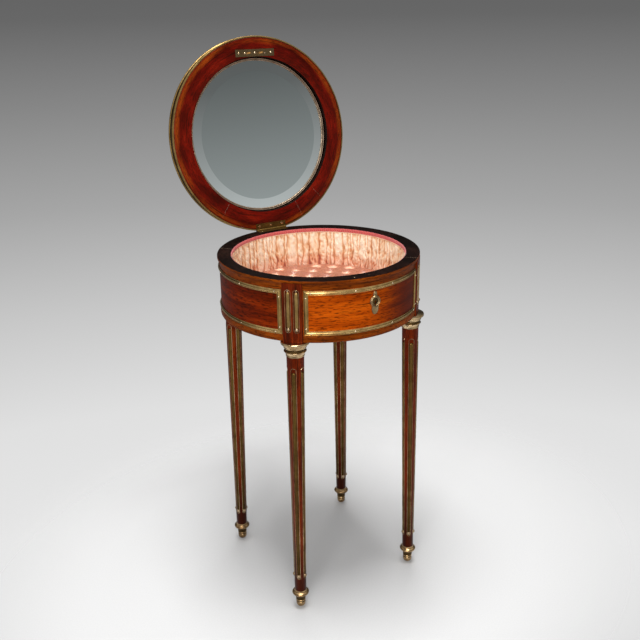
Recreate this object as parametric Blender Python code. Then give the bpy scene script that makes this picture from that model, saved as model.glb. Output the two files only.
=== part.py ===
"""Round bijouterie table: a shallow lined drum on four splayed, brass-fluted legs, under a mirrored lid.

Metres, +Z up.  The origin is on the floor under the drum's axis; the keyhole faces -Y and the hinge +Y.
The lid is modelled shut and then swung open by its pivot empty, which lies on the hinge pin.
"""
import math

import bmesh
import bpy
from mathutils import Matrix, Vector
from mathutils.geometry import delaunay_2d_cdt

for old in list(bpy.data.objects):
    bpy.data.objects.remove(old, do_unlink=True)

# Fits
GAP = 0.0003               # glue line or seating gap between two pieces that touch
RING_SEGMENTS = 48         # facets round the drum and the lid
RAIL_SEGMENTS = 12         # facets along one frieze rail

# Drum
DRUM_RADIUS = 0.200        # outside of the rim
RIM_TOP = 0.709            # floor to the top of the rim
DRUM_HEIGHT = 0.118        # rim top to the underside of the frieze
RIM_WIDTH = 0.0265         # flat ebonised ring on top of the wall
RIM_THICK = 0.005
RIM_EASE = 0.0010          # softened edges of the rim
WALL_THICK = 0.0225        # rim's edge to the inside of the frieze rails and posts
FRIEZE_SET_BACK = 0.0035   # frieze face behind the rim's edge
BASE_SET_BACK = 0.0015     # base band behind the rim's edge
COVE_STEPS = 4

# Brass panel frames
FRAME_DROP = 0.0185        # rim top to the frame
FRAME_RISE = 0.0140        # underside of the drum to the frame
FRAME_STRIP = 0.0085       # width of the brass strip
FRAME_PROUD = 0.0026       # strip in front of the frieze
FRAME_MARGIN = 0.0012      # post to the frame's end

# Posts, with two short flutes each; a reed lies in each flute and a bead stops it
POST_WIDTH = 0.038
POST_PROUD = 0.0005        # post in front of the rim's edge
REED_WIDTH = 0.0100        # flute, lip to lip
REED_PITCH = 0.0150
REED_SINK = 0.0016         # depth of the flute beside the reed
REED_PROUD = 0.0005        # crown of the reed in front of the post
REED_TOP = 0.0170          # rim top to the flute's upper end
REED_BOTTOM = 0.0200       # underside of the drum to the flute's lower end
REED_END = 0.0026          # run-out of the flute at either end
REED_BARE = 0.0030         # open flute above the reed
REED_BEAD = 0.0075         # length of the bead
REED_BEAD_PROUD = 0.0030

# Legs
LEG_INSET = 0.0140         # leg axis inside the rim's edge, at the underside of the drum
LEG_SPLAY = 0.0085         # and how much further out it stands on the floor
LEG_TOP_RADIUS = 0.0165
LEG_FOOT_RADIUS = 0.01175
TENON_RADIUS = 0.0055
TENON_LENGTH = 0.020       # into the post
DOWEL_RADIUS = 0.0048
DOWEL_LENGTH = 0.012       # into the foot
FLUTES = 5
FLUTE_TOP = 0.0205         # below the leg's shoulder
FLUTE_FLOOR = 0.072        # lower end, above the floor
FLUTE_TOP_WIDTH = 0.0095
FLUTE_FOOT_WIDTH = 0.0070
FLUTE_DEPTH = 0.0022
FLUTE_END = 0.0035         # run-out at either end
ROD_START = 0.0070         # bare flute above the rod
ROD_PROUD = 0.0006
ROD_BEAD = 0.0075
ROD_BEAD_PROUD = 0.0026

# Turned brass
CAPITAL_HEIGHT = 0.0295
CAPITAL_RADIUS = 0.0255
CAPITAL_RING = 0.0203      # lower ring
CAPITAL_WAIST = 0.0182
CAPITAL_SEGMENTS = 18
FOOT_HEIGHT = 0.042
FOOT_COLLAR = 0.0172
FOOT_NECK = 0.0104         # plain stretch under the collar
FOOT_GROOVE = 0.0084
FOOT_BULB = 0.0094
FOOT_FLAT = 0.0036
FOOT_SEGMENTS = 16

# Inside of the drum
BOARD_UP = 0.002           # underside of the drum to the base board
BOARD_THICK = 0.012
LINING_PLEATS = 60
LINING_DEPTH = 0.0055      # wall to the crest of a pleat
LINING_VALLEY = 0.0025     # wall to the bottom of a pleat
BRAID_HEIGHT = 0.0088
BRAID_THICK = 0.0022
BRAID_DROP = 0.0008        # rim's top to the braid's upper edge
CUSHION_EDGE = 0.0245      # height of the pad at its drawn-in side
CUSHION_CROWN = 0.0275     # height at the crown
CUSHION_ROUND = 0.005      # how far the side is drawn in
CUSHION_FREE = 0.0010      # pad to the lining's crests
TUFT_PITCH = 0.0366        # side of a square between four tufts
TUFT_TURN = math.radians(-43.0)
TUFT_DEPTH = 0.0080
TUFT_RADIUS = 0.0095

# Lid
LID_OPEN = math.radians(97.0)
LID_OVERHANG = 0.0015      # brass edge beyond the rim's edge
LID_THICK = 0.022
LID_PANEL_THICK = 0.0052
LID_EDGE_DEPTH = 0.0035    # brass edge, front to back
LID_EDGE_HOLLOW = 0.0016
LID_RING = 0.0425          # lid's edge to the opening round the mirror
LID_EASE = 0.0014
MIRROR_THICK = 0.004
MIRROR_EDGE = 0.0030       # thickness at the bevelled edge
MIRROR_BEVEL = 0.0290      # opening to the flat inside the bevel
BEZEL_WIDTH = 0.0070
BEZEL_THICK = 0.0026

# Stop hinge
HINGE_IN = 0.0015          # pin axis inside the rim's edge
HINGE_WIDTH = 0.071
HINGE_LEAF = 0.0145        # pin axis to the leaf's free edge
HINGE_LEAF_THICK = 0.0018
HINGE_KNUCKLE = 0.0030     # radius
HINGE_MIDDLE = 0.0245      # width of the lid's knuckle
HINGE_FREE = 0.0006        # running clearance round the knuckles

# Box lock and its strike
LOCK_WIDTH = 0.060
LOCK_HEIGHT = 0.055
LOCK_COVER = 0.0017        # strike's inner edge to the room-side face of the case
LOCK_SINK = 0.0010         # case let into the inside of the rail
LOCK_WALL = 0.0022
STRIKE_WIDTH = 0.089
STRIKE_MARGIN = 0.0010     # opening of the lid to the strike's inner edge
STRIKE_DEPTH = 0.0145
STRIKE_THICK = 0.0015
HOOK_INSET = 0.0160        # side of the lock to a hook
HOOK_STEM = 0.0025
HOOK_TOE = 0.0035
HOOK_THICK = 0.0030
HOOK_REACH = 0.0100        # below the top of the lock
BOLT_THROW = 0.0040
BOLT_THICK = 0.0044
BOLT_BAR = 0.0070
KEY_DROP = 0.0485          # rim top to the keyhole
KEY_RADIUS = 0.0024
KEY_SLOT = 0.0026
KEY_LENGTH = 0.0085        # keyhole below its round
PLATE_HALF_WIDTH = 0.0110  # escutcheon
PLATE_HALF_HEIGHT = 0.0112
PLATE_KNOB = 0.0085        # crest above the oval
PLATE_DROP = 0.0140        # pendant below the oval
PLATE_THICK = 0.0016
PLATE_BOSS = 0.0058

# Levels and radii that follow from the sizes above
DRUM_BOTTOM = RIM_TOP - DRUM_HEIGHT
WALL_TOP = RIM_TOP - RIM_THICK - GAP
WALL_INSIDE = DRUM_RADIUS - WALL_THICK
FRIEZE = DRUM_RADIUS - FRIEZE_SET_BACK
POST_FACE = DRUM_RADIUS + POST_PROUD
POST_HALF = 0.5 * POST_WIDTH / DRUM_RADIUS
RAIL_START = POST_HALF + GAP / WALL_INSIDE
RAIL_STEP = (0.5 * math.pi - 2.0 * RAIL_START) / RAIL_SEGMENTS
FRAME_TOP = RIM_TOP - FRAME_DROP
FRAME_BOTTOM = DRUM_BOTTOM + FRAME_RISE
WELL = WALL_INSIDE * math.cos(0.5 * max(RAIL_STEP, POST_HALF)) - GAP
BOARD_BOTTOM = DRUM_BOTTOM + BOARD_UP
BOARD_TOP = BOARD_BOTTOM + BOARD_THICK
LEG_TOP_OUT = DRUM_RADIUS - LEG_INSET
LEG_FOOT_OUT = LEG_TOP_OUT + LEG_SPLAY
LEG_TOP = DRUM_BOTTOM - CAPITAL_HEIGHT - 2.0 * GAP
LEG_FOOT = FOOT_HEIGHT + GAP
LID_UNDER = RIM_TOP + GAP
LID_RADIUS = DRUM_RADIUS + LID_OVERHANG
LID_OPENING = LID_RADIUS - LID_RING
MIRROR_FLAT = LID_OPENING - MIRROR_BEVEL
BEZEL_INSIDE = LID_OPENING - BEZEL_WIDTH
HINGE_Y = DRUM_RADIUS - HINGE_IN
HINGE_Z = RIM_TOP + 0.5 * GAP
STRIKE_INSIDE = LID_OPENING + STRIKE_MARGIN
LOCK_FACE = STRIKE_INSIDE + LOCK_COVER
LOCK_BACK = WALL_INSIDE + LOCK_SINK
HOOK_SPREAD = LOCK_WIDTH - 2.0 * HOOK_INSET
LOCK_TOP = WALL_TOP
STRIKE_Y = -(STRIKE_INSIDE + 0.5 * STRIKE_DEPTH)
KEY_Z = RIM_TOP - KEY_DROP

CORNERS = {"front_left": 225.0, "front_right": 315.0, "back_right": 45.0, "back_left": 135.0}
SIDES = {"front": 270.0, "right": 0.0, "back": 90.0, "left": 180.0}


def finish(name, colour, roughness, metallic=0.0):
    """Principled material from an sRGB colour."""
    channels = [int(colour[i:i + 2], 16) / 255.0 for i in (1, 3, 5)]
    linear = [c / 12.92 if c <= 0.04045 else ((c + 0.055) / 1.055) ** 2.4 for c in channels]
    mat = bpy.data.materials.new(name)
    mat.use_nodes = True
    shader = mat.node_tree.nodes["Principled BSDF"]
    shader.inputs["Base Color"].default_value = (*linear, 1.0)
    shader.inputs["Roughness"].default_value = roughness
    shader.inputs["Metallic"].default_value = metallic
    return mat


ROSEWOOD = finish("frieze_wood", "#a8480f", 0.30)
MAHOGANY = finish("leg_mahogany", "#5a2418", 0.32)
EBONISED = finish("ebonised_rim", "#2a2120", 0.38)
LID_WOOD = finish("lid_wood", "#6e1a10", 0.28)
BASE_WOOD = finish("base_wood", "#7a5230", 0.60)
BRASS = finish("antique_brass", "#a8843f", 0.34, 1.0)
STEEL = finish("lock_steel", "#8d8a84", 0.40, 1.0)
MIRROR = finish("mirror_glass", "#9aa8a6", 0.03, 1.0)
SILK = finish("ruched_silk", "#f0bd98", 0.45)
SATIN = finish("tufted_satin", "#cf7f63", 0.40)
BRAID = finish("coral_braid", "#d94e50", 0.70)


def place(name, bm, mat, turn=0.0, pivot=None):
    """Turn a bmesh into a named object, turned about Z or hung on a pivot empty."""
    bmesh.ops.recalc_face_normals(bm, faces=bm.faces)
    mesh = bpy.data.meshes.new(name)
    if pivot is not None:
        bm.transform(Matrix.Translation(-pivot.location))
    bm.to_mesh(mesh)
    bm.free()
    mesh.materials.append(mat)
    mesh.shade_smooth()
    mesh.set_sharp_from_angle(angle=math.radians(32.0))
    ob = bpy.data.objects.new(name, mesh)
    bpy.context.scene.collection.objects.link(ob)
    ob.parent = pivot
    ob.rotation_euler.z = turn
    return ob


def repeat(ob, name, turn):
    """A second object on the same mesh, turned about the drum's axis."""
    twin = ob.copy()
    twin.name = name
    bpy.context.scene.collection.objects.link(twin)
    twin.rotation_euler.z = turn
    return twin


def turned(profile, count, start=0.0, sweep=math.tau):
    """Revolve a closed (radius, height) outline about Z, all the way or over an arc."""
    bm = bmesh.new()
    full = sweep >= math.tau - 1e-9
    columns = count if full else count + 1
    rows = []
    for radius, height in profile:
        if radius < 1e-7:
            rows.append([bm.verts.new((0.0, 0.0, height))] * columns)
            continue
        angles = [start + sweep * k / count for k in range(columns)]
        rows.append([bm.verts.new((radius * math.cos(a), radius * math.sin(a), height)) for a in angles])
    for low, high in zip(rows, rows[1:] + rows[:1]):
        for k in range(count):
            m = (k + 1) % columns
            corners = list(dict.fromkeys((low[k], low[m], high[m], high[k])))
            if len(corners) > 2:
                bm.faces.new(corners)
    if not full:
        bm.faces.new([row[0] for row in rows])
        bm.faces.new([row[-1] for row in rows])
    return bm


def loft(rings):
    """Skin closed rings of equal count, and cap both ends."""
    bm = bmesh.new()
    rows = [[bm.verts.new(p) for p in ring] for ring in rings]
    for low, high in zip(rows, rows[1:]):
        for k in range(len(low)):
            m = (k + 1) % len(low)
            bm.faces.new((low[k], low[m], high[m], high[k]))
    bm.faces.new(rows[0])
    bm.faces.new(rows[-1])
    return bm


def prism(outline, axis, low, high):
    """Extrude an outline along one axis; the outline holds the other two coordinates in order."""
    def point(pair, level):
        pair = list(pair)
        pair.insert(axis, level)
        return pair
    return loft([[point(p, low) for p in outline], [point(p, high) for p in outline]])


def block(x, y, z):
    return prism([(x[0], y[0]), (x[1], y[0]), (x[1], y[1]), (x[0], y[1])], 2, z[0], z[1])


def rod(radius, count, axis, centre, low, high):
    turns = [math.tau * (k + 0.5) / count for k in range(count)]
    outline = [(centre[0] + radius * math.cos(a), centre[1] + radius * math.sin(a)) for a in turns]
    return prism(outline, axis, low, high)


def combine(ob, operation, tools, pivot=None):
    """Join or cut an object with solids, and keep the result as its mesh."""
    made = [place("tool", bm, ob.data.materials[0], pivot=pivot) for bm in tools]
    for tool in made:
        step = ob.modifiers.new("step", "BOOLEAN")
        step.operation = operation
        step.solver = "EXACT"
        step.object = tool
    bpy.context.view_layer.update()
    graph = bpy.context.evaluated_depsgraph_get()
    mesh = bpy.data.meshes.new_from_object(ob.evaluated_get(graph))
    ob.modifiers.clear()
    ob.data = mesh
    for tool in made:
        bpy.data.objects.remove(tool, do_unlink=True)
    return ob


def fade(a, b, t):
    return a + (b - a) * t


# Drum wall: four rails between four posts, coved out to the rim and stepped out to the base band
def rail_outline():
    base = DRUM_RADIUS - BASE_SET_BACK
    brow = DRUM_RADIUS - RIM_EASE
    cove = []
    for k in range(COVE_STEPS + 1):
        t = 0.5 * math.pi * k / COVE_STEPS
        radius = fade(FRIEZE, brow, 1.0 - math.cos(t))
        cove.append((radius, fade(FRAME_TOP + GAP, WALL_TOP, math.sin(t))))
    ledge = FRAME_BOTTOM - GAP
    foot = [(WALL_INSIDE, DRUM_BOTTOM), (base - 0.002, DRUM_BOTTOM), (base, DRUM_BOTTOM + 0.003)]
    return foot + [(base, ledge), (FRIEZE, ledge)] + cove + [(WALL_INSIDE, WALL_TOP)]


def keyhole(near, far):
    """Round and slot of the keyhole, as two solids along Y."""
    hole = rod(KEY_RADIUS, 12, 1, (0.0, KEY_Z), near, far)
    slot = [(-0.5 * KEY_SLOT, KEY_Z - KEY_LENGTH), (0.5 * KEY_SLOT, KEY_Z - KEY_LENGTH),
            (0.5 * KEY_SLOT, KEY_Z), (-0.5 * KEY_SLOT, KEY_Z)]
    return [hole, prism(slot, 1, near, far)]


sweep = RAIL_STEP * RAIL_SEGMENTS
start = -0.25 * math.pi + RAIL_START
plain = turned(rail_outline(), RAIL_SEGMENTS, start, sweep)
rail = place("frieze_rail_right", plain, ROSEWOOD)
for side in ("back", "left"):
    repeat(rail, "frieze_rail_" + side, math.radians(SIDES[side]))
front = turned(rail_outline(), RAIL_SEGMENTS, start - 0.5 * math.pi, sweep)
front = place("frieze_rail_front", front, ROSEWOOD)
half_lock = 0.5 * LOCK_WIDTH
lock_floor = LOCK_TOP - LOCK_HEIGHT
seat = block((-half_lock - GAP, half_lock + GAP), (-LOCK_BACK - GAP, -0.9 * LOCK_FACE),
             (lock_floor - GAP, WALL_TOP + RIM_THICK))
combine(front, "DIFFERENCE", [seat] + keyhole(-DRUM_RADIUS - POST_PROUD, -0.9 * LOCK_FACE))


def frame_loop(inset, proud):
    """One curved rectangle of the frame; points sit on the rail's own facet lines."""
    ends = RAIL_START + (FRAME_MARGIN + inset) / FRIEZE - 0.25 * math.pi
    inner = [start + RAIL_STEP * k for k in range(1, RAIL_SEGMENTS)]
    angles = [ends] + inner + [-ends]
    radius = FRIEZE + GAP + proud
    low = [(radius * math.cos(a), radius * math.sin(a), FRAME_BOTTOM + inset) for a in angles]
    high = [(radius * math.cos(a), radius * math.sin(a), FRAME_TOP - inset) for a in reversed(angles)]
    return low + high


def frame_mesh():
    """Moulded strip, mitred at the corners: two beads with a hollow between them."""
    section = [(0.0, 0.0), (0.0, 0.6), (0.22, 1.0), (0.5, 0.45), (0.78, 0.85), (1.0, 0.4), (1.0, 0.0)]
    bm = bmesh.new()
    rows = []
    for across, height in section:
        rows.append([bm.verts.new(p) for p in frame_loop(across * FRAME_STRIP, height * FRAME_PROUD)])
    for low, high in zip(rows, rows[1:] + rows[:1]):
        for k in range(len(low)):
            m = (k + 1) % len(low)
            bm.faces.new((low[k], low[m], high[m], high[k]))
    return bm


frame = place("panel_frame_right", frame_mesh(), BRASS)
for side in ("front", "back", "left"):
    repeat(frame, "panel_frame_" + side, math.radians(SIDES[side]))


# Posts: the flutes, their reeds and beads are worked on the outer face
def post_ring(height, sink, crown):
    half = 0.5 * REED_WIDTH
    across = [(-0.5 * POST_WIDTH, 0.0)]
    for centre in (-0.5 * REED_PITCH, 0.5 * REED_PITCH):
        for share, rise in ((-1.0, 0.0), (-0.72, -sink), (0.0, crown), (0.72, -sink), (1.0, 0.0)):
            across.append((centre + share * half, rise))
    across.append((0.5 * POST_WIDTH, 0.0))
    ring = []
    for along, rise in across:
        angle = POST_HALF * along / (0.5 * POST_WIDTH)
        radius = POST_FACE + rise
        ring.append((radius * math.cos(angle), radius * math.sin(angle), height))
    for angle in (POST_HALF, 0.0, -POST_HALF):
        ring.append((WALL_INSIDE * math.cos(angle), WALL_INSIDE * math.sin(angle), height))
    return ring


low = DRUM_BOTTOM + REED_BOTTOM
high = RIM_TOP - REED_TOP
reed_end = high - REED_END - REED_BARE
post_rings = [post_ring(DRUM_BOTTOM, 0.0, 0.0), post_ring(low, 0.0, 0.0), post_ring(low + REED_END, REED_SINK, -REED_SINK)]
for share, proud in ((0.2, 0.7), (0.5, 1.0), (0.8, 0.7)):
    post_rings.append(post_ring(low + REED_END + share * REED_BEAD, REED_SINK, proud * REED_BEAD_PROUD))
post_rings.append(post_ring(low + REED_END + REED_BEAD, REED_SINK, REED_PROUD))
post_rings += [post_ring(reed_end - REED_SINK, REED_SINK, REED_PROUD), post_ring(reed_end, REED_SINK, -REED_SINK)]
post_rings += [post_ring(high - REED_END, REED_SINK, -REED_SINK), post_ring(high, 0.0, 0.0), post_ring(WALL_TOP, 0.0, 0.0)]
post = place("post_back_right", loft(post_rings), MAHOGANY)
socket = rod(TENON_RADIUS + GAP, 16, 2, (LEG_TOP_OUT, 0.0), LEG_TOP, DRUM_BOTTOM + TENON_LENGTH + GAP)
combine(post, "DIFFERENCE", [socket])
post.rotation_euler.z = math.radians(CORNERS["back_right"])

# Capital: a turned collar between the leg's shoulder and the post
top = DRUM_BOTTOM - GAP
collar = [(TENON_RADIUS + 2.0 * GAP, top), (CAPITAL_RADIUS - 0.0014, top)]
for share, radius in ((0.05, CAPITAL_RADIUS), (0.15, CAPITAL_RADIUS), (0.34, fade(CAPITAL_WAIST, CAPITAL_RADIUS, 0.32)),
                      (0.42, CAPITAL_WAIST), (0.56, CAPITAL_WAIST), (0.66, CAPITAL_RING), (0.80, CAPITAL_RING),
                      (0.90, fade(LEG_TOP_RADIUS, CAPITAL_RING, 0.30)), (1.0, LEG_TOP_RADIUS + GAP)):
    collar.append((radius, top - share * CAPITAL_HEIGHT))
collar.append((TENON_RADIUS + 2.0 * GAP, top - CAPITAL_HEIGHT))
capital = turned(collar, CAPITAL_SEGMENTS)
bmesh.ops.translate(capital, verts=capital.verts, vec=(LEG_TOP_OUT, 0.0, 0.0))
capital = place("capital_back_right", capital, BRASS, math.radians(CORNERS["back_right"]))

# Foot: a turned toupie with a collar, a plain neck, a groove and a bulb
pit = FOOT_HEIGHT - DOWEL_LENGTH - GAP
toupie = [(0.0, 0.0), (FOOT_FLAT, 0.0), (fade(FOOT_FLAT, FOOT_BULB, 0.8), 0.07 * FOOT_HEIGHT),
          (FOOT_BULB, 0.16 * FOOT_HEIGHT), (FOOT_BULB, 0.30 * FOOT_HEIGHT), (FOOT_GROOVE, 0.36 * FOOT_HEIGHT),
          (FOOT_NECK, 0.44 * FOOT_HEIGHT), (FOOT_NECK, 0.68 * FOOT_HEIGHT), (FOOT_COLLAR, 0.77 * FOOT_HEIGHT),
          (FOOT_COLLAR, 0.85 * FOOT_HEIGHT), (LEG_FOOT_RADIUS + 0.001, 0.96 * FOOT_HEIGHT),
          (LEG_FOOT_RADIUS, FOOT_HEIGHT), (DOWEL_RADIUS + GAP, FOOT_HEIGHT), (DOWEL_RADIUS + GAP, pit), (0.0, pit)]


def leg_axis(height):
    return fade(LEG_FOOT_OUT, LEG_TOP_OUT, height / DRUM_BOTTOM)


foot = turned(toupie, FOOT_SEGMENTS)
bmesh.ops.translate(foot, verts=foot.verts, vec=(leg_axis(FOOT_HEIGHT), 0.0, 0.0))
foot = place("foot_back_right", foot, BRASS, math.radians(CORNERS["back_right"]))


# Leg: a tapered, fluted turning with a dowel below and a tenon above
def leg_radius(height):
    return fade(LEG_FOOT_RADIUS, LEG_TOP_RADIUS, (height - LEG_FOOT) / (LEG_TOP - LEG_FOOT))


def flute_half(height):
    share = (height - FLUTE_FLOOR) / (LEG_TOP - FLUTE_TOP - FLUTE_FLOOR)
    width = fade(FLUTE_FOOT_WIDTH, FLUTE_TOP_WIDTH, min(max(share, 0.0), 1.0))
    return math.asin(0.5 * width / leg_radius(height))


def leg_ring(height, radius, depth, axis=None):
    """Lips and floor of each flute, and two points on each land."""
    half = flute_half(min(max(height, LEG_FOOT), LEG_TOP))
    pitch = math.tau / FLUTES
    x = leg_axis(height) if axis is None else axis
    ring = []
    for k in range(FLUTES):
        middle = pitch * k
        land = 0.5 * pitch - half
        for angle, cut in ((-half, 0.0), (-0.72 * half, depth), (0.72 * half, depth), (half, 0.0),
                           (half + 0.66 * land, 0.0), (half + 1.34 * land, 0.0)):
            ring.append((x + (radius - cut) * math.cos(middle + angle),
                         (radius - cut) * math.sin(middle + angle), height))
    return ring


flute_high = LEG_TOP - FLUTE_TOP
dowel_end = FOOT_HEIGHT - DOWEL_LENGTH
leg_rings = [leg_ring(dowel_end, DOWEL_RADIUS, 0.0, leg_axis(FOOT_HEIGHT)),
             leg_ring(LEG_FOOT, DOWEL_RADIUS, 0.0, leg_axis(FOOT_HEIGHT))]
for height, depth in ((LEG_FOOT, 0.0), (FLUTE_FLOOR, 0.0), (FLUTE_FLOOR + FLUTE_END, FLUTE_DEPTH),
                      (flute_high - FLUTE_END, FLUTE_DEPTH), (flute_high, 0.0), (LEG_TOP, 0.0)):
    leg_rings.append(leg_ring(height, leg_radius(height), depth))
leg_rings += [leg_ring(LEG_TOP, TENON_RADIUS, 0.0, LEG_TOP_OUT),
              leg_ring(DRUM_BOTTOM + TENON_LENGTH, TENON_RADIUS, 0.0, LEG_TOP_OUT)]
leg = place("leg_back_right", loft(leg_rings), MAHOGANY, math.radians(CORNERS["back_right"]))


# Brass rods laid in the flutes; each ends in a bead below
def rod_ring(number, height, proud):
    middle = math.tau * number / FLUTES
    half = flute_half(height) * 0.70 - GAP / leg_radius(height)
    floor = leg_radius(height) - FLUTE_DEPTH + GAP
    crown = leg_radius(height) + proud
    shoulder = fade(floor, crown, 0.72)
    ring = []
    for angle, radius in ((-half, floor), (half, floor), (half, shoulder), (0.0, crown), (-half, shoulder)):
        ring.append((leg_axis(height) + radius * math.cos(middle + angle), radius * math.sin(middle + angle), height))
    return ring


rods = []
for number in range(FLUTES):
    end = FLUTE_FLOOR + FLUTE_END + GAP
    rings = [rod_ring(number, end, 0.0)]
    for share, proud in ((0.2, 0.8), (0.5, 1.0), (0.8, 0.8)):
        rings.append(rod_ring(number, end + share * ROD_BEAD, proud * ROD_BEAD_PROUD))
    rings.append(rod_ring(number, end + ROD_BEAD, ROD_PROUD))
    tip = flute_high - FLUTE_END - ROD_START
    rings += [rod_ring(number, tip - 0.003, ROD_PROUD), rod_ring(number, tip, -0.4 * FLUTE_DEPTH)]
    name = "flute_rod_back_right_%d" % (number + 1)
    rods.append(place(name, loft(rings), BRASS, math.radians(CORNERS["back_right"])))

for corner in ("front_left", "front_right", "back_left"):
    turn = math.radians(CORNERS[corner])
    for ob in [post, capital, foot, leg] + rods:
        repeat(ob, ob.name.replace("back_right", corner), turn)

# Rim: a flat ring, notched for the hinge's knuckles and sunk for its leaf
edge = DRUM_RADIUS
rim_inside = DRUM_RADIUS - RIM_WIDTH
under = WALL_TOP + GAP
rim = turned([(rim_inside, under), (edge - RIM_EASE, under), (edge, under + RIM_EASE), (edge, RIM_TOP - RIM_EASE),
              (edge - RIM_EASE, RIM_TOP), (rim_inside + 0.5 * RIM_EASE, RIM_TOP), (rim_inside, RIM_TOP - 0.5 * RIM_EASE)],
             RING_SEGMENTS)
rim = place("rim_ring", rim, EBONISED)
half_hinge = 0.5 * HINGE_WIDTH
clear = HINGE_KNUCKLE + HINGE_FREE
leaf_edge = HINGE_Y - HINGE_LEAF
notch = block((-half_hinge - GAP, half_hinge + GAP), (HINGE_Y - clear, 1.1 * DRUM_RADIUS),
              (HINGE_Z - clear, RIM_TOP + clear))
leaf_bed = block((-half_hinge - GAP, half_hinge + GAP), (leaf_edge - GAP, HINGE_Y),
                 (RIM_TOP - HINGE_LEAF_THICK - GAP, RIM_TOP + 2.0 * clear))
combine(rim, "DIFFERENCE", [notch, leaf_bed])

# Base board, pleated lining, braid and tufted pad
board = turned([(0.0, BOARD_BOTTOM), (WELL, BOARD_BOTTOM), (WELL, BOARD_TOP), (0.0, BOARD_TOP)], RING_SEGMENTS)
place("base_board", board, BASE_WOOD)

lining_low = BOARD_TOP + GAP
lining_high = WALL_TOP - GAP
braid_high = RIM_TOP - BRAID_DROP
braid_low = braid_high - BRAID_HEIGHT


def pleat_ring(height, fullness):
    """Inside of the lining: crests and valleys of unequal depth round the wall."""
    ring = []
    for k in range(2 * LINING_PLEATS):
        angle = math.pi * (k + 0.5) / LINING_PLEATS
        depth = LINING_VALLEY
        if k % 2:
            sway = 0.5 + 0.5 * math.sin(2.4 * k + 40.0 * height)
            depth += fullness * (LINING_DEPTH - LINING_VALLEY) * fade(0.55, 1.0, sway)
            angle += 0.25 * math.pi / LINING_PLEATS * math.sin(1.7 * k + 25.0 * height)
        ring.append(((WELL - depth) * math.cos(angle), (WELL - depth) * math.sin(angle), height))
    return ring


def lining_mesh():
    bm = bmesh.new()
    count = 2 * LINING_PLEATS
    heights = [(lining_low, 1.0), (fade(lining_low, braid_low, 0.5), 0.85),
               (braid_low - 2.0 * LINING_VALLEY, 1.0), (braid_low - GAP, 0.0), (lining_high, 0.0)]
    rings = [pleat_ring(height, fullness) for height, fullness in heights]
    back = [[(WELL * math.cos(math.pi * (k + 0.5) / LINING_PLEATS),
              WELL * math.sin(math.pi * (k + 0.5) / LINING_PLEATS), height) for k in range(count)]
            for height in (lining_high, lining_low)]
    rows = [[bm.verts.new(p) for p in ring] for ring in rings + back]
    for low_row, high_row in zip(rows, rows[1:] + rows[:1]):
        for k in range(count):
            m = (k + 1) % count
            bm.faces.new((low_row[k], low_row[m], high_row[m], high_row[k]))
    return bm


lock_clear = 2.0 * GAP
lock_hole = ((-half_lock - lock_clear, half_lock + lock_clear), (-1.1 * DRUM_RADIUS, -0.9 * LOCK_FACE),
             (lock_floor - lock_clear, RIM_TOP))
lining = place("wall_lining", lining_mesh(), SILK)
combine(lining, "DIFFERENCE", [block(*lock_hole)])
braid_out = rim_inside * math.cos(math.pi / RING_SEGMENTS) - GAP
braid_in = braid_out - BRAID_THICK
braid = turned([(braid_out, braid_low), (braid_out, braid_high), (braid_in + 0.4 * BRAID_THICK, braid_high),
                (braid_in, fade(braid_low, braid_high, 0.7)), (braid_in, fade(braid_low, braid_high, 0.3)),
                (braid_in + 0.4 * BRAID_THICK, braid_low)], RING_SEGMENTS)
braid = place("lining_braid", braid, BRAID)
combine(braid, "DIFFERENCE", [block(*lock_hole)])

cushion_radius = (WELL - LINING_DEPTH) * math.cos(0.5 * math.pi / LINING_PLEATS) - CUSHION_FREE


def tuft_lattice(i, j):
    """Point of the tuft grid, whole numbers on the tufts."""
    return TUFT_PITCH * Vector((i, j)) @ Matrix.Rotation(TUFT_TURN, 2).transposed()


def pad_height(x, y):
    """Crown of the pad, drawn down at each tuft."""
    share = min(math.hypot(x, y) / cushion_radius, 1.0)
    height = fade(CUSHION_EDGE, CUSHION_CROWN, (1.0 - share ** 6))
    spot = Vector((x, y)) @ Matrix.Rotation(TUFT_TURN, 2)
    i, j = spot / TUFT_PITCH
    near = min((tuft_lattice(a, b) - Vector((x, y))).length
               for a in (math.floor(i), math.floor(i) + 1) for b in (math.floor(j), math.floor(j) + 1))
    return height - TUFT_DEPTH * math.exp(-(near / TUFT_RADIUS) ** 2)


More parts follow.
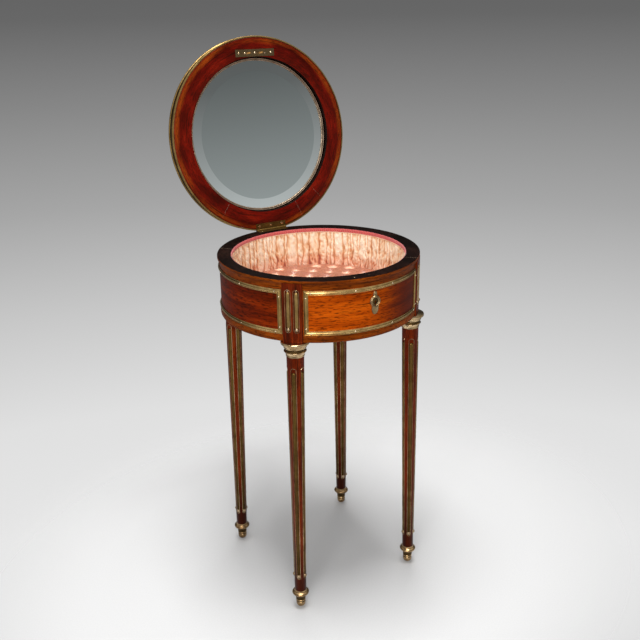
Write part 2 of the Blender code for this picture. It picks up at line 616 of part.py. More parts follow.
def cushion_mesh():
    """Grid of three points to a tuft, joined to a round edge and closed below."""
    split = 3
    reach = split * (int(cushion_radius / TUFT_PITCH) + 3)
    brim = cushion_radius - CUSHION_ROUND
    points = []
    for i in range(-reach, reach + 1):
        for j in range(-reach, reach + 1):
            spot = tuft_lattice(i / split, j / split)
            if spot.length < brim - 0.55 * TUFT_PITCH / split:
                points.append(spot)
    turns = [math.tau * k / RING_SEGMENTS for k in range(RING_SEGMENTS)]
    first = len(points)
    points += [Vector((brim * math.cos(a), brim * math.sin(a))) for a in turns]
    loop = [(first + k, first + (k + 1) % RING_SEGMENTS) for k in range(RING_SEGMENTS)]
    flat, _, cells, _, _, _ = delaunay_2d_cdt(points, loop, [], 1, 1e-6)
    floor = BOARD_TOP + GAP
    bm = bmesh.new()
    verts = [bm.verts.new((p.x, p.y, floor + pad_height(p.x, p.y))) for p in flat]
    for cell in cells:
        bm.faces.new([verts[k] for k in cell])
    edge_loop = [e for e in bm.edges if e.is_boundary]
    for radius, height in ((cushion_radius, 0.75 * CUSHION_EDGE), (cushion_radius, 0.20 * CUSHION_EDGE), (brim, 0.0)):
        made = bmesh.ops.extrude_edge_only(bm, edges=edge_loop)["geom"]
        edge_loop = [g for g in made if isinstance(g, bmesh.types.BMEdge)]
        for v in [g for g in made if isinstance(g, bmesh.types.BMVert)]:
            flat_length = math.hypot(v.co.x, v.co.y)
            v.co.x *= radius / flat_length
            v.co.y *= radius / flat_length
            v.co.z = floor + height
    bmesh.ops.contextual_create(bm, geom=edge_loop)
    return bm


place("base_cushion", cushion_mesh(), SATIN)

# Escutcheon: an oval plate with a crest, a pendant and a raised boss round the keyhole
def plate_loop(scale, proud, lobes):
    ring = []
    for k in range(32):
        a = math.tau * k / 32
        oval = 1.0 / math.hypot(math.cos(a) / PLATE_HALF_WIDTH, math.sin(a) / PLATE_HALF_HEIGHT)
        crest = PLATE_KNOB * math.exp(-(math.remainder(a - 0.5 * math.pi, math.tau) / 0.30) ** 2)
        drop = PLATE_DROP * math.exp(-(math.remainder(a + 0.5 * math.pi, math.tau) / 0.42) ** 2)
        reach = oval * scale + lobes * (crest + drop)
        ring.append((reach * math.cos(a), -(FRIEZE + GAP + proud), KEY_Z + reach * math.sin(a)))
    return ring


loops = [plate_loop(1.0, 0.0, 1.0), plate_loop(1.0, 0.6 * PLATE_THICK, 1.0), plate_loop(0.9, PLATE_THICK, 0.92),
         plate_loop(0.84, PLATE_THICK, 0.0), plate_loop(0.74, 0.85 * PLATE_BOSS, 0.0),
         plate_loop(0.60, PLATE_BOSS, 0.0), plate_loop(0.48, 0.7 * PLATE_BOSS, 0.0)]
escutcheon = place("escutcheon", loft(loops), BRASS)
combine(escutcheon, "DIFFERENCE", keyhole(-FRIEZE - 2.0 * PLATE_BOSS, -FRIEZE + PLATE_THICK))

# Box lock on the inside of the front rail, with a bolt that slides under the hooks of the strike
case = place("lock_case", block((-half_lock, half_lock), (-LOCK_BACK, -LOCK_FACE), (lock_floor, LOCK_TOP)), STEEL)
half_run = half_lock - 1.4 * LOCK_WALL
bolt_top = LOCK_TOP - HOOK_REACH - 0.0012
bolt_floor = bolt_top - BOLT_BAR
run = block((-half_run, half_run), (STRIKE_Y - 0.5 * BOLT_THICK - 2.0 * GAP, STRIKE_Y + 0.5 * BOLT_THICK + 2.0 * GAP),
            (bolt_floor - GAP, LOCK_TOP - LOCK_WALL))
slots = []
hooks = [-0.5 * HOOK_SPREAD, 0.5 * HOOK_SPREAD]
hook_free = 0.0008
for stem in hooks:
    slots.append(block((stem - HOOK_TOE - hook_free, stem + HOOK_STEM + hook_free),
                       (STRIKE_Y - 0.5 * HOOK_THICK - hook_free, STRIKE_Y + 0.5 * HOOK_THICK + hook_free),
                       (LOCK_TOP - 1.5 * LOCK_WALL, LOCK_TOP + LOCK_WALL)))
combine(case, "DIFFERENCE", [run] + slots + keyhole(-LOCK_BACK - LOCK_WALL, -LOCK_BACK + 2.0 * LOCK_WALL))

toe_top = LOCK_TOP - HOOK_REACH + 0.0022
nose_low = toe_top + 0.0006
nose_high = nose_low + 0.0032
tip = 0.0005                # nose to the stem when thrown
bolt_outline = [(-half_run + 0.0008, bolt_floor), (hooks[1] + HOOK_STEM, bolt_floor), (hooks[1] + HOOK_STEM, bolt_top)]
for stem in reversed(hooks):
    nose = stem - tip - BOLT_THROW
    heel = nose - HOOK_TOE - 0.001
    bolt_outline += [(heel, bolt_top), (heel, nose_low), (nose, nose_low), (nose, nose_high),
                     (heel - 0.0025, nose_high), (heel - 0.0025, bolt_top)]
bolt_outline.append((-half_run + 0.0008, bolt_top))
bolt = prism(bolt_outline, 1, -0.5 * BOLT_THICK, 0.5 * BOLT_THICK)
bolt_z = 0.5 * (bolt_floor + bolt_top)
bmesh.ops.translate(bolt, verts=bolt.verts, vec=(0.0, 0.0, -bolt_z))
bolt = place("lock_bolt", bolt, BRASS)
bolt.location = (0.0, STRIKE_Y, bolt_z)

# Hinge: a leaf let into the rim and a leaf let into the lid, with knuckles on one pin line
side = 0.5 * HINGE_MIDDLE
short = HINGE_Y - clear
leaf = [(-half_hinge, leaf_edge), (half_hinge, leaf_edge), (half_hinge, HINGE_Y), (side + GAP, HINGE_Y),
        (side + GAP, short), (-side - GAP, short), (-side - GAP, HINGE_Y), (-half_hinge, HINGE_Y)]
rim_leaf = place("hinge_rim_leaf", prism(leaf, 2, RIM_TOP - HINGE_LEAF_THICK, RIM_TOP), BRASS)
combine(rim_leaf, "UNION", [rod(HINGE_KNUCKLE, 12, 0, (HINGE_Y, HINGE_Z), low_x, high_x)
                            for low_x, high_x in ((-half_hinge, -side - GAP), (side + GAP, half_hinge))])

pivot = bpy.data.objects.new("lid_pivot", None)
bpy.context.scene.collection.objects.link(pivot)
pivot.location = (0.0, HINGE_Y, HINGE_Z)
bpy.context.view_layer.update()

leaf = [(-half_hinge, leaf_edge), (half_hinge, leaf_edge), (half_hinge, short), (side, short),
        (side, HINGE_Y), (-side, HINGE_Y), (-side, short), (-half_hinge, short)]
lid_leaf = place("hinge_lid_leaf", prism(leaf, 2, LID_UNDER, LID_UNDER + HINGE_LEAF_THICK), BRASS, pivot=pivot)
combine(lid_leaf, "UNION", [rod(HINGE_KNUCKLE, 12, 0, (HINGE_Y, HINGE_Z), -side, side)], pivot)

# Lid: a ring under a thin top, with a moulded brass edge and a bevelled mirror held by a bezel
lid_wood = LID_RADIUS - LID_EDGE_DEPTH - GAP
lid_top = LID_UNDER + LID_THICK
panel_low = lid_top - LID_PANEL_THICK
ring_top = panel_low - GAP
lid_ring = turned([(LID_OPENING, LID_UNDER), (lid_wood - LID_EASE, LID_UNDER), (lid_wood, LID_UNDER + LID_EASE),
                   (lid_wood, ring_top), (LID_OPENING, ring_top)], RING_SEGMENTS)
lid_ring = place("lid_frame", lid_ring, LID_WOOD, pivot=pivot)
lid_notch = ((-half_hinge - GAP, half_hinge + GAP), (HINGE_Y - clear, 1.1 * LID_RADIUS),
             (RIM_TOP - clear, HINGE_Z + clear))
lid_bed = ((-half_hinge - GAP, half_hinge + GAP), (leaf_edge - GAP, HINGE_Y),
           (RIM_TOP - 2.0 * clear, LID_UNDER + HINGE_LEAF_THICK + GAP))
half_strike = 0.5 * STRIKE_WIDTH
strike_bed = block((-half_strike - GAP, half_strike + GAP),
                   (-STRIKE_INSIDE - STRIKE_DEPTH - GAP, -STRIKE_INSIDE + GAP),
                   (RIM_TOP - clear, LID_UNDER + STRIKE_THICK + GAP))
combine(lid_ring, "DIFFERENCE", [block(*lid_notch), block(*lid_bed), strike_bed], pivot)

panel = turned([(0.0, panel_low), (lid_wood, panel_low), (lid_wood, lid_top - LID_EASE),
                (lid_wood - LID_EASE, lid_top), (0.0, lid_top)], RING_SEGMENTS)
place("lid_top_panel", panel, LID_WOOD, pivot=pivot)

back = LID_RADIUS - LID_EDGE_DEPTH
bead = 0.20 * LID_THICK
moulding = turned([(back, LID_UNDER), (LID_RADIUS - 0.3 * LID_EDGE_HOLLOW, LID_UNDER), (LID_RADIUS, LID_UNDER + 0.5 * bead),
                   (LID_RADIUS - LID_EDGE_HOLLOW, LID_UNDER + 1.2 * bead), (LID_RADIUS - LID_EDGE_HOLLOW, lid_top - 1.2 * bead),
                   (LID_RADIUS, lid_top - 0.5 * bead), (LID_RADIUS - 0.3 * LID_EDGE_HOLLOW, lid_top), (back, lid_top)],
                  RING_SEGMENTS)
moulding = place("lid_edge_moulding", moulding, BRASS, pivot=pivot)
combine(moulding, "DIFFERENCE", [block(*lid_notch), block(*lid_bed)], pivot)

glass_radius = LID_OPENING * math.cos(math.pi / RING_SEGMENTS) - GAP
glass_top = ring_top
glass_low = glass_top - MIRROR_THICK
glass = turned([(0.0, glass_low), (MIRROR_FLAT, glass_low), (glass_radius, glass_top - MIRROR_EDGE),
                (glass_radius, glass_top), (0.0, glass_top)], RING_SEGMENTS)
place("mirror_glass", glass, MIRROR, pivot=pivot)


def bevel_level(radius):
    return fade(glass_low, glass_top - MIRROR_EDGE, (radius - MIRROR_FLAT) / (glass_radius - MIRROR_FLAT))


slip = [(glass_radius, bevel_level(glass_radius) - GAP), (BEZEL_INSIDE, bevel_level(BEZEL_INSIDE) - GAP),
        (BEZEL_INSIDE, bevel_level(BEZEL_INSIDE) - 0.4 * BEZEL_THICK),
        (fade(BEZEL_INSIDE, glass_radius, 0.35), bevel_level(BEZEL_INSIDE) - BEZEL_THICK),
        (glass_radius, bevel_level(BEZEL_INSIDE) - BEZEL_THICK)]
place("mirror_bezel", turned(slip, RING_SEGMENTS), BRASS, pivot=pivot)

plate = block((-half_strike, half_strike), (-STRIKE_INSIDE - STRIKE_DEPTH, -STRIKE_INSIDE),
              (LID_UNDER, LID_UNDER + STRIKE_THICK))
strike = place("strike_plate", plate, BRASS, pivot=pivot)
hook_low = LOCK_TOP - HOOK_REACH
hook_solids = []
for stem in hooks:
    outline = [(stem - HOOK_TOE, hook_low), (stem + HOOK_STEM, hook_low), (stem + HOOK_STEM, LID_UNDER + 0.5 * STRIKE_THICK),
               (stem, LID_UNDER + 0.5 * STRIKE_THICK), (stem, toe_top), (stem - HOOK_TOE, toe_top)]
    hook_solids.append(prism(outline, 1, STRIKE_Y - 0.5 * HOOK_THICK, STRIKE_Y + 0.5 * HOOK_THICK))
combine(strike, "UNION", hook_solids, pivot)

# Swing the finished lid open about the pin
pivot.rotation_euler.x = -LID_OPEN
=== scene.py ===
"""Round bijouterie table, dressed: veneer, mahogany, brass, mirror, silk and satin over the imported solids.

Metres, +Z up, in the frame of the solids: the origin is on the floor under the drum's axis, the keyhole
faces -Y and the hinge +Y.  Pieces of the drum and legs ride on "table", pieces of the lid ride on "lid".
"""
import math
import random

import bmesh
import bpy
import numpy as np
from mathutils import Matrix, Vector, noise
from mathutils.geometry import delaunay_2d_cdt


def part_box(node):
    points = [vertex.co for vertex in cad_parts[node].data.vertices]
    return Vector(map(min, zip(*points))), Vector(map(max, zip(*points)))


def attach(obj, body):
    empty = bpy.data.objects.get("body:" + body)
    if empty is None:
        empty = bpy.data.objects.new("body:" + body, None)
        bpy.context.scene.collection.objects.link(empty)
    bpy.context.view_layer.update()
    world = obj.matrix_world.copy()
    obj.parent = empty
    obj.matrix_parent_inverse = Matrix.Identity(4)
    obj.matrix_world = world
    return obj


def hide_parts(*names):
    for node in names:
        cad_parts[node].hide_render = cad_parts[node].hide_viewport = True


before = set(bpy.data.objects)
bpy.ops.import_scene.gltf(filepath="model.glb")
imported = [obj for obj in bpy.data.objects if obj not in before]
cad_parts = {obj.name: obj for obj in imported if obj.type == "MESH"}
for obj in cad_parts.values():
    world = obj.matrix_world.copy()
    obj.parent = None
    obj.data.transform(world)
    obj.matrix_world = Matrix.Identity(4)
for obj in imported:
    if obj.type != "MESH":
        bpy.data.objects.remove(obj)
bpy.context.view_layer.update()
scene = bpy.context.scene

# Sizes of the drum and legs
MM = 0.001
GAP = 0.3 * MM
rim_low, rim_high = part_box("rim_ring")
rail_low, rail_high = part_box("frieze_rail_front")
strip_low, strip_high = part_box("panel_frame_front")
RIM_RADIUS, RIM_TOP, RIM_UNDER = rim_high[0], rim_high[2], rim_low[2]
DRUM_BOTTOM, WALL_TOP = rail_low[2], rail_high[2]
FRAME_LOW, FRAME_HIGH = strip_low[2], strip_high[2]
RIM_INSIDE = RIM_RADIUS - 26.5 * MM
WALL_INSIDE = RIM_RADIUS - 22.5 * MM
FRIEZE = RIM_RADIUS - 3.5 * MM
BASE_BAND = RIM_RADIUS - 1.5 * MM
BROW = RIM_RADIUS - 1.0 * MM
POST_FACE = RIM_RADIUS + 0.5 * MM
POST_WIDTH = 38.0 * MM
POST_HALF = 0.5 * POST_WIDTH / RIM_RADIUS
RAIL_START = POST_HALF + GAP / WALL_INSIDE
FRAME_STRIP = 8.5 * MM
FRAME_END = 1.2 * MM
LEG_TOP_OUT = RIM_RADIUS - 14.0 * MM
LEG_FOOT_OUT = LEG_TOP_OUT + 8.5 * MM
FOOT_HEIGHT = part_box("foot_front_left")[1][2]
CAPITAL_LOW, CAPITAL_TOP = (corner[2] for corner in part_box("capital_front_left"))
LEG_FOOT, LEG_TOP = FOOT_HEIGHT + GAP, CAPITAL_LOW - GAP
LEG_FOOT_RADIUS, LEG_TOP_RADIUS = 11.75 * MM, 16.5 * MM
KEY_Z = RIM_TOP - 48.5 * MM
CORNERS = {"front_left": 225.0, "front_right": 315.0, "back_right": 45.0, "back_left": 135.0}
SIDES = {"front": 270.0, "right": 0.0, "back": 90.0, "left": 180.0}

# Sizes of the soft parts
lining_low, lining_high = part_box("wall_lining")
braid_low, braid_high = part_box("lining_braid")
pad_low, pad_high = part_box("base_cushion")
WELL, LINING_LOW, LINING_HIGH = lining_high[0], lining_low[2], lining_high[2]
BRAID_OUT, BRAID_LOW, BRAID_HIGH = braid_high[0], braid_low[2], braid_high[2]
PAD_RADIUS, PAD_FLOOR, PAD_TOP = pad_high[0], pad_low[2], pad_high[2]

# Sizes of the lid; it stands open at rest, and its pieces are drawn shut from the middle of its underside
LID_UNDER = RIM_TOP + GAP
LID_THICK = 22.0 * MM
LID_WOOD = 197.7 * MM
LID_OPENING = 159.0 * MM
LID_INSIDE = 16.5 * MM
MIRROR_FACE, MIRROR_FLAT, MIRROR_EDGE = 12.5 * MM, 133.0 * MM, 158.4 * MM
HINGE = Vector((0.0, RIM_RADIUS - 1.5 * MM, RIM_TOP + 0.5 * GAP))
LID = (Matrix.Translation(HINGE) @ Matrix.Rotation(math.radians(-97.0), 4, "X")
       @ Matrix.Translation(Vector((0.0, 0.0, LID_UNDER)) - HINGE))


def tint(code):
    """Linear colour of an sRGB hex value."""
    channels = [int(code[i:i + 2], 16) / 255.0 for i in (1, 3, 5)]
    return [c / 12.92 if c <= 0.04045 else ((c + 0.055) / 1.055) ** 2.4 for c in channels] + [1.0]


def per_mm(*sizes):
    """Pattern scale at which one repeat is this many millimetres long on each axis."""
    return tuple(1000.0 / size for size in sizes)


def add(tree, kind, inputs=None, stops=None, **settings):
    """Add a node, set it, fill its inputs with numbers or links, and give a ramp its stops."""
    item = tree.nodes.new(kind)
    for key, value in settings.items():
        setattr(item, key, value)
    for key, value in (inputs or {}).items():
        if isinstance(value, bpy.types.NodeSocket):
            tree.links.new(value, item.inputs[key])
        else:
            item.inputs[key].default_value = value
    for number, (place, value) in enumerate(stops or []):
        ramp = item.color_ramp.elements
        stop = ramp[number] if number < 2 else ramp.new(place)
        stop.position = place
        stop.color = tint(value) if isinstance(value, str) else (value, value, value, 1.0)
    return item


def blank_finish(name):
    mat = bpy.data.materials.new(name)
    mat.use_nodes = True
    return mat, mat.node_tree, mat.node_tree.nodes["Principled BSDF"]


def from_axis(tree, place):
    """Coordinates along each axis, and the distance from Z."""
    parts = add(tree, "ShaderNodeSeparateXYZ", {0: place})
    level = add(tree, "ShaderNodeCombineXYZ", {0: parts.outputs[0], 1: parts.outputs[1]})
    radius = add(tree, "ShaderNodeVectorMath", {0: level.outputs[0]}, operation="LENGTH")
    return parts.outputs, radius.outputs["Value"]


def polished_wood(name, figure, grain, pores, colours, line, roughness, specular=0.15,
                  rings=False, band=None, deep=None):
    """French-polished wood: a broad figure, drawn-out grain lines and short open pores, sizes in millimetres.

    The eye gets a deep colour that drifts along the grain, thin dark lines and a soft, warm shine.
    With rings the grain runs round the Z axis; band lays a faded strip between two radii, and deep paints
    shade on the wood, darkening it along an axis from one place to another."""
    mat, tree, shader = blank_finish(name)
    place = add(tree, "ShaderNodeTexCoord").outputs["Object"]
    parts, radius = from_axis(tree, place)
    if rings:
        place = add(tree, "ShaderNodeCombineXYZ", {0: parts[0], 1: parts[1], 2: radius}).outputs[0]
    laid = add(tree, "ShaderNodeMapping", {"Vector": place, "Scale": per_mm(*figure)})
    broad = add(tree, "ShaderNodeTexNoise", {"Vector": laid.outputs[0], "Scale": 1.0, "Detail": 6.0,
                                             "Roughness": 0.62, "Distortion": 0.35})
    body = add(tree, "ShaderNodeValToRGB", {0: broad.outputs[0]},
               [(0.32 + 0.36 * k / (len(colours) - 1), c) for k, c in enumerate(colours)])
    drawn = add(tree, "ShaderNodeMapping", {"Vector": place, "Scale": per_mm(*grain)})
    lines = add(tree, "ShaderNodeTexNoise", {"Vector": drawn.outputs[0], "Scale": 1.0, "Detail": 4.0,
                                             "Roughness": 0.55, "Distortion": 0.5})
    dark = add(tree, "ShaderNodeValToRGB", {0: lines.outputs[0]},
               [(0.33, 0.9), (0.44, 0.0), (0.60, 0.0), (0.72, 0.45)])
    short = add(tree, "ShaderNodeMapping", {"Vector": place, "Scale": per_mm(*pores)})
    fine = add(tree, "ShaderNodeTexNoise", {"Vector": short.outputs[0], "Scale": 1.0, "Detail": 2.0})
    pits = add(tree, "ShaderNodeValToRGB", {0: fine.outputs[0]}, [(0.36, 0.85), (0.46, 0.0)])
    colour = body.outputs[0]
    if band:
        inner, outer, faded = band
        ragged = add(tree, "ShaderNodeMath", {0: broad.outputs[0], 1: 18.0 * MM, 2: radius},
                     operation="MULTIPLY_ADD")
        start = add(tree, "ShaderNodeMapRange", {0: ragged.outputs[0], 1: inner + 8 * MM, 2: inner + 14 * MM})
        finish = add(tree, "ShaderNodeMapRange", {0: radius, 1: outer, 2: outer + 2.5 * MM, 3: 0.75, 4: 0.1})
        patches = add(tree, "ShaderNodeTexNoise", {"Vector": place, "Scale": 1000.0 / 90.0, "Detail": 3.0})
        worn = add(tree, "ShaderNodeMapRange", {0: patches.outputs[0], 1: 0.36, 2: 0.60, 3: 0.15, 4: 1.0})
        share = add(tree, "ShaderNodeMath", {0: start.outputs[0], 1: finish.outputs[0]}, operation="MULTIPLY")
        share = add(tree, "ShaderNodeMath", {0: share.outputs[0], 1: worn.outputs[0]}, operation="MULTIPLY")
        colour = add(tree, "ShaderNodeMix", {0: share.outputs[0], 6: colour, 7: tint(faded)},
                     data_type="RGBA").outputs[2]
    # Painted shade: the wood darkens along one axis
    if deep:
        axis, start, stop, shade = deep
        share = add(tree, "ShaderNodeMapRange", {0: parts[axis], 1: start, 2: stop, 3: 0.0, 4: 0.9},
                    interpolation_type="SMOOTHSTEP")
        colour = add(tree, "ShaderNodeMix", {0: share.outputs[0], 6: colour, 7: tint(shade)},
                     data_type="RGBA", blend_type="MULTIPLY").outputs[2]
    for mask in (dark, pits):
        colour = add(tree, "ShaderNodeMix", {0: mask.outputs[0], 6: colour, 7: tint(line)},
                     data_type="RGBA").outputs[2]
    shine = add(tree, "ShaderNodeMapRange", {0: broad.outputs[0], 3: roughness[0], 4: roughness[1]})
    relief = add(tree, "ShaderNodeBump", {"Strength": 0.25, "Distance": 0.15 * MM, "Height": fine.outputs[0]})
    tree.links.new(colour, shader.inputs["Base Color"])
    tree.links.new(shine.outputs[0], shader.inputs["Roughness"])
    tree.links.new(relief.outputs[0], shader.inputs["Normal"])
    shader.inputs["Specular IOR Level"].default_value = specular
    shader.inputs["Specular Tint"].default_value = tint("#ffc896")
    return mat


def old_metal(name, bright, worn, tarnish, roughness, shade_heights=None):
    """Cast or drawn metal under old lacquer: cloudy patina, small brown spots, brighter where it is handled.

    The eye gets a warm metal that shifts between pale and dull, with broken highlights.  Given two heights,
    it browns downwards between them, as painted shade."""
    mat, tree, shader = blank_finish(name)
    place = add(tree, "ShaderNodeTexCoord").outputs["Object"]
    cloud = add(tree, "ShaderNodeTexNoise", {"Vector": place, "Scale": 1000.0 / 22.0, "Detail": 6.0,
                                             "Roughness": 0.6})
    body = add(tree, "ShaderNodeValToRGB", {0: cloud.outputs[0]}, [(0.36, worn), (0.62, bright)])
    speck = add(tree, "ShaderNodeTexNoise", {"Vector": place, "Scale": 1000.0 / 2.2, "Detail": 3.0})
    spots = add(tree, "ShaderNodeValToRGB", {0: speck.outputs[0]}, [(0.22, 0.85), (0.38, 0.0)])
    colour = add(tree, "ShaderNodeMix", {0: spots.outputs[0], 6: body.outputs[0], 7: tint(tarnish)},
                 data_type="RGBA")
    # Painted shade: the metal browns towards the floor
    if shade_heights:
        height = add(tree, "ShaderNodeSeparateXYZ", {0: place}).outputs[2]
        share = add(tree, "ShaderNodeMapRange", {0: height, 1: shade_heights[0], 2: shade_heights[1], 3: 0.75, 4: 0.0})
        colour = add(tree, "ShaderNodeMix", {0: share.outputs[0], 6: colour.outputs[2], 7: tint(tarnish)},
                     data_type="RGBA")
    shine = add(tree, "ShaderNodeMapRange", {0: cloud.outputs[0], 1: 0.3, 2: 0.7, 3: roughness[1], 4: roughness[0]})
    relief = add(tree, "ShaderNodeBump", {"Strength": 0.03, "Distance": 0.2 * MM, "Height": speck.outputs[0]})
    tree.links.new(colour.outputs[2], shader.inputs["Base Color"])
    tree.links.new(shine.outputs[0], shader.inputs["Roughness"])
    tree.links.new(relief.outputs[0], shader.inputs["Normal"])
    shader.inputs["Metallic"].default_value = 1.0
    return mat


# Front panel: the palest leaf of rosewood veneer, partly a painted highlight; grain laid level; orange with ink-dark
# flecks, painted shade deepening it to the right
FRONT_VENEER = polished_wood("rosewood_veneer_front", (170, 170, 15), (85, 85, 2.2), (11, 11, 1.5),
                             ["#8e3302", "#ae4403", "#c45206", "#d6620b"], "#4a1602", (0.34, 0.46), 0.08,
                             deep=(0, -20.0 * MM, 80.0 * MM, "#7a5442"))
# Other panels: darker leaves of the same veneer, their darkness partly painted shade
SIDE_VENEER = polished_wood("rosewood_veneer_side", (170, 170, 13), (85, 85, 2.2), (11, 11, 1.5),
                            ["#4e1202", "#6a1c03", "#802704", "#943407"], "#2c0a02", (0.34, 0.46), 0.08)
# Cove and base band: cross pieces of rosewood, brown between the two
BAND_VENEER = polished_wood("rosewood_banding", (120, 120, 12), (70, 70, 2.6), (9, 9, 1.4),
                            ["#582305", "#723006", "#883d09", "#9c4b10"], "#381404", (0.32, 0.44), 0.10)
# Posts and legs: mahogany planed with the grain upright; red-brown, quiet figure, painted shade darkening the legs
# towards the floor
MAHOGANY = polished_wood("leg_mahogany", (14, 14, 180), (3, 3, 90), (0.7, 0.7, 10),
                         ["#471104", "#5d1905", "#732408", "#89340c"], "#260903", (0.28, 0.40),
                         deep=(2, 240.0 * MM, 60.0 * MM, "#6a4640"))
# Rim: fruitwood stained black and rubbed; nearly even, a little brown where the stain has worn
EBONISED = polished_wood("ebonised_fruitwood", (60, 60, 60), (80, 80, 3), (6, 6, 0.6),
                         ["#080403", "#0e0706", "#160b09", "#21130f"], "#050302", (0.42, 0.55), 0.03)
# Worn joints in the stained rim and the lid: dry pale wood where the polish has gone
WORN_JOINT = polished_wood("dry_worn_joint", (20, 20, 20), (30, 30, 3), (4, 4, 0.6),
                           ["#8a7663", "#9a8672", "#aa9683", "#b8a592"], "#5e4c3c", (0.55, 0.70), 0.1)
# Lid ring: rosewood with the grain bent round the mirror, faded to orange near its edge
LID_RING = polished_wood("lid_rosewood_ring", (70, 70, 24), (90, 90, 2.6), (10, 10, 0.7),
                         ["#380302", "#500603", "#670b04", "#7c1607"], "#260302", (0.28, 0.42), 0.22, True,
                         (186.0 * MM, 194.0 * MM, "#8c3c0a"))
# Lid top: one sheet of rosewood veneer, grain from side to side
LID_TOP = polished_wood("lid_top_veneer", (190, 22, 22), (120, 4, 4), (12, 0.8, 0.8),
                        ["#3e1205", "#5f2008", "#78300b", "#8f4111"], "#260a03", (0.34, 0.46), 0.05)
# Base board: plain softwood underneath, left unpolished
BASE_WOOD = polished_wood("plain_base_board", (170, 26, 26), (120, 5, 5), (12, 0.9, 0.9),
                          ["#5d3d22", "#7a5230", "#8f653d", "#a1764b"], "#452b17", (0.55, 0.70), 0.15)
# Mounts: cast and chased brass with worn lacquer; pale gold on the crowns, brown in the hollows from tarnish and
# painted shade
BRASS = old_metal("cast_brass_mounts", "#e6ca9e", "#a5875c", "#3a2812", (0.12, 0.26))
# Feet: the same brass, made darker and duller
FOOT_BRASS = old_metal("dull_brass_feet", "#b4966c", "#7d6242", "#2c1e0e", (0.18, 0.34))
# Pins and rivets: brass painted paler than the other mounts, a painted highlight for their glints
BRIGHT_BRASS = old_metal("bright_brass_pins", "#f2dfc4", "#d0b48c", "#6b5230", (0.16, 0.28))
# Beads below the reeds and rods: turned brass, greyed by old wax
BEAD_BRASS = old_metal("waxed_brass_beads", "#b7a084", "#8c7658", "#453622", (0.36, 0.50))
# Grooves and hollows of the mounts: brass gone brown where a cloth does not reach, darker still as painted shade
DARK_BRASS = old_metal("tarnished_and_shaded_brass_hollows", "#5c4728", "#3f2f19", "#20170b", (0.40, 0.55))
# Level strips of the frames: drawn brass, rubbed along its crown
BRASS_STRIP = old_metal("drawn_brass_strip", "#d8b577", "#a07e4c", "#4a3414", (0.20, 0.36))
# Slip round the glass: gilding thinned to a pinkish bole
GILT_SLIP = old_metal("thin_gilt_slip", "#ab947e", "#85705c", "#453629", (0.46, 0.60))
# Reeds of the posts and upright strips of the frames: drawn brass, olive under old wax; on the frames' upright strips
# its darker tone is painted shade
REED_BRASS = old_metal("waxed_brass_reeds", "#b2925a", "#876c40", "#362a14", (0.30, 0.46))
# Edge of the lid: drawn brass, dulled by hands
EDGE_BRASS = old_metal("dull_brass_edge", "#ab8c56", "#7f6539", "#3a2a12", (0.40, 0.56))
# Flute rods and hinge: drawn brass left dull, browned towards the floor as painted shade
BRASS_ROD = old_metal("dull_brass_rod", "#7c6030", "#5f4622", "#2a1c0c", (0.32, 0.48), (40.0 * MM, 420.0 * MM))
# Keyhole plate and strike: cast brass, paler where the key and the lid have rubbed it
PLATE_BRASS = old_metal("worn_cast_plate", "#a78e68", "#7a6444", "#33281a", (0.22, 0.38))
# Lock: filed steel, grey with brown tarnish
STEEL = old_metal("filed_steel", "#9a958c", "#77726a", "#4a3d30", (0.32, 0.48))


def silvered_glass():
    """Old silvered plate glass: a clear green-grey reflection, a painted reflection brightening the ground bevel,
    clouded at its edge.
    """
    mat, tree, shader = blank_finish("silvered_plate_glass")
    place = add(tree, "ShaderNodeTexCoord").outputs["Object"]
    parts, radius = from_axis(tree, place)
    fog = add(tree, "ShaderNodeTexNoise", {"Vector": place, "Scale": 1000.0 / 5.0, "Detail": 4.0})
    # Painted reflection: the bevel is tinted brighter than the flat
    bevel = add(tree, "ShaderNodeMapRange", {0: radius, 1: MIRROR_FLAT, 2: MIRROR_FLAT + 0.5 * MM})
    plate = add(tree, "ShaderNodeMix", {0: bevel.outputs[0], 6: tint("#d6e1e0"), 7: tint("#eaf3f2")},
                data_type="RGBA")
    edge = add(tree, "ShaderNodeMath", {0: fog.outputs[0], 1: 5.0 * MM, 2: radius}, operation="MULTIPLY_ADD")
    share = add(tree, "ShaderNodeMapRange", {0: edge.outputs[0], 1: 154.0 * MM, 2: 159.0 * MM})
    colour = add(tree, "ShaderNodeMix", {0: share.outputs[0], 6: plate.outputs[2], 7: tint("#8e8a7c")},
                 data_type="RGBA")
    haze = add(tree, "ShaderNodeMapRange", {0: share.outputs[0], 3: 0.015, 4: 0.16})
    tree.links.new(colour.outputs[2], shader.inputs["Base Color"])
    tree.links.new(haze.outputs[0], shader.inputs["Roughness"])
    shader.inputs["Metallic"].default_value = 1.0
    return mat


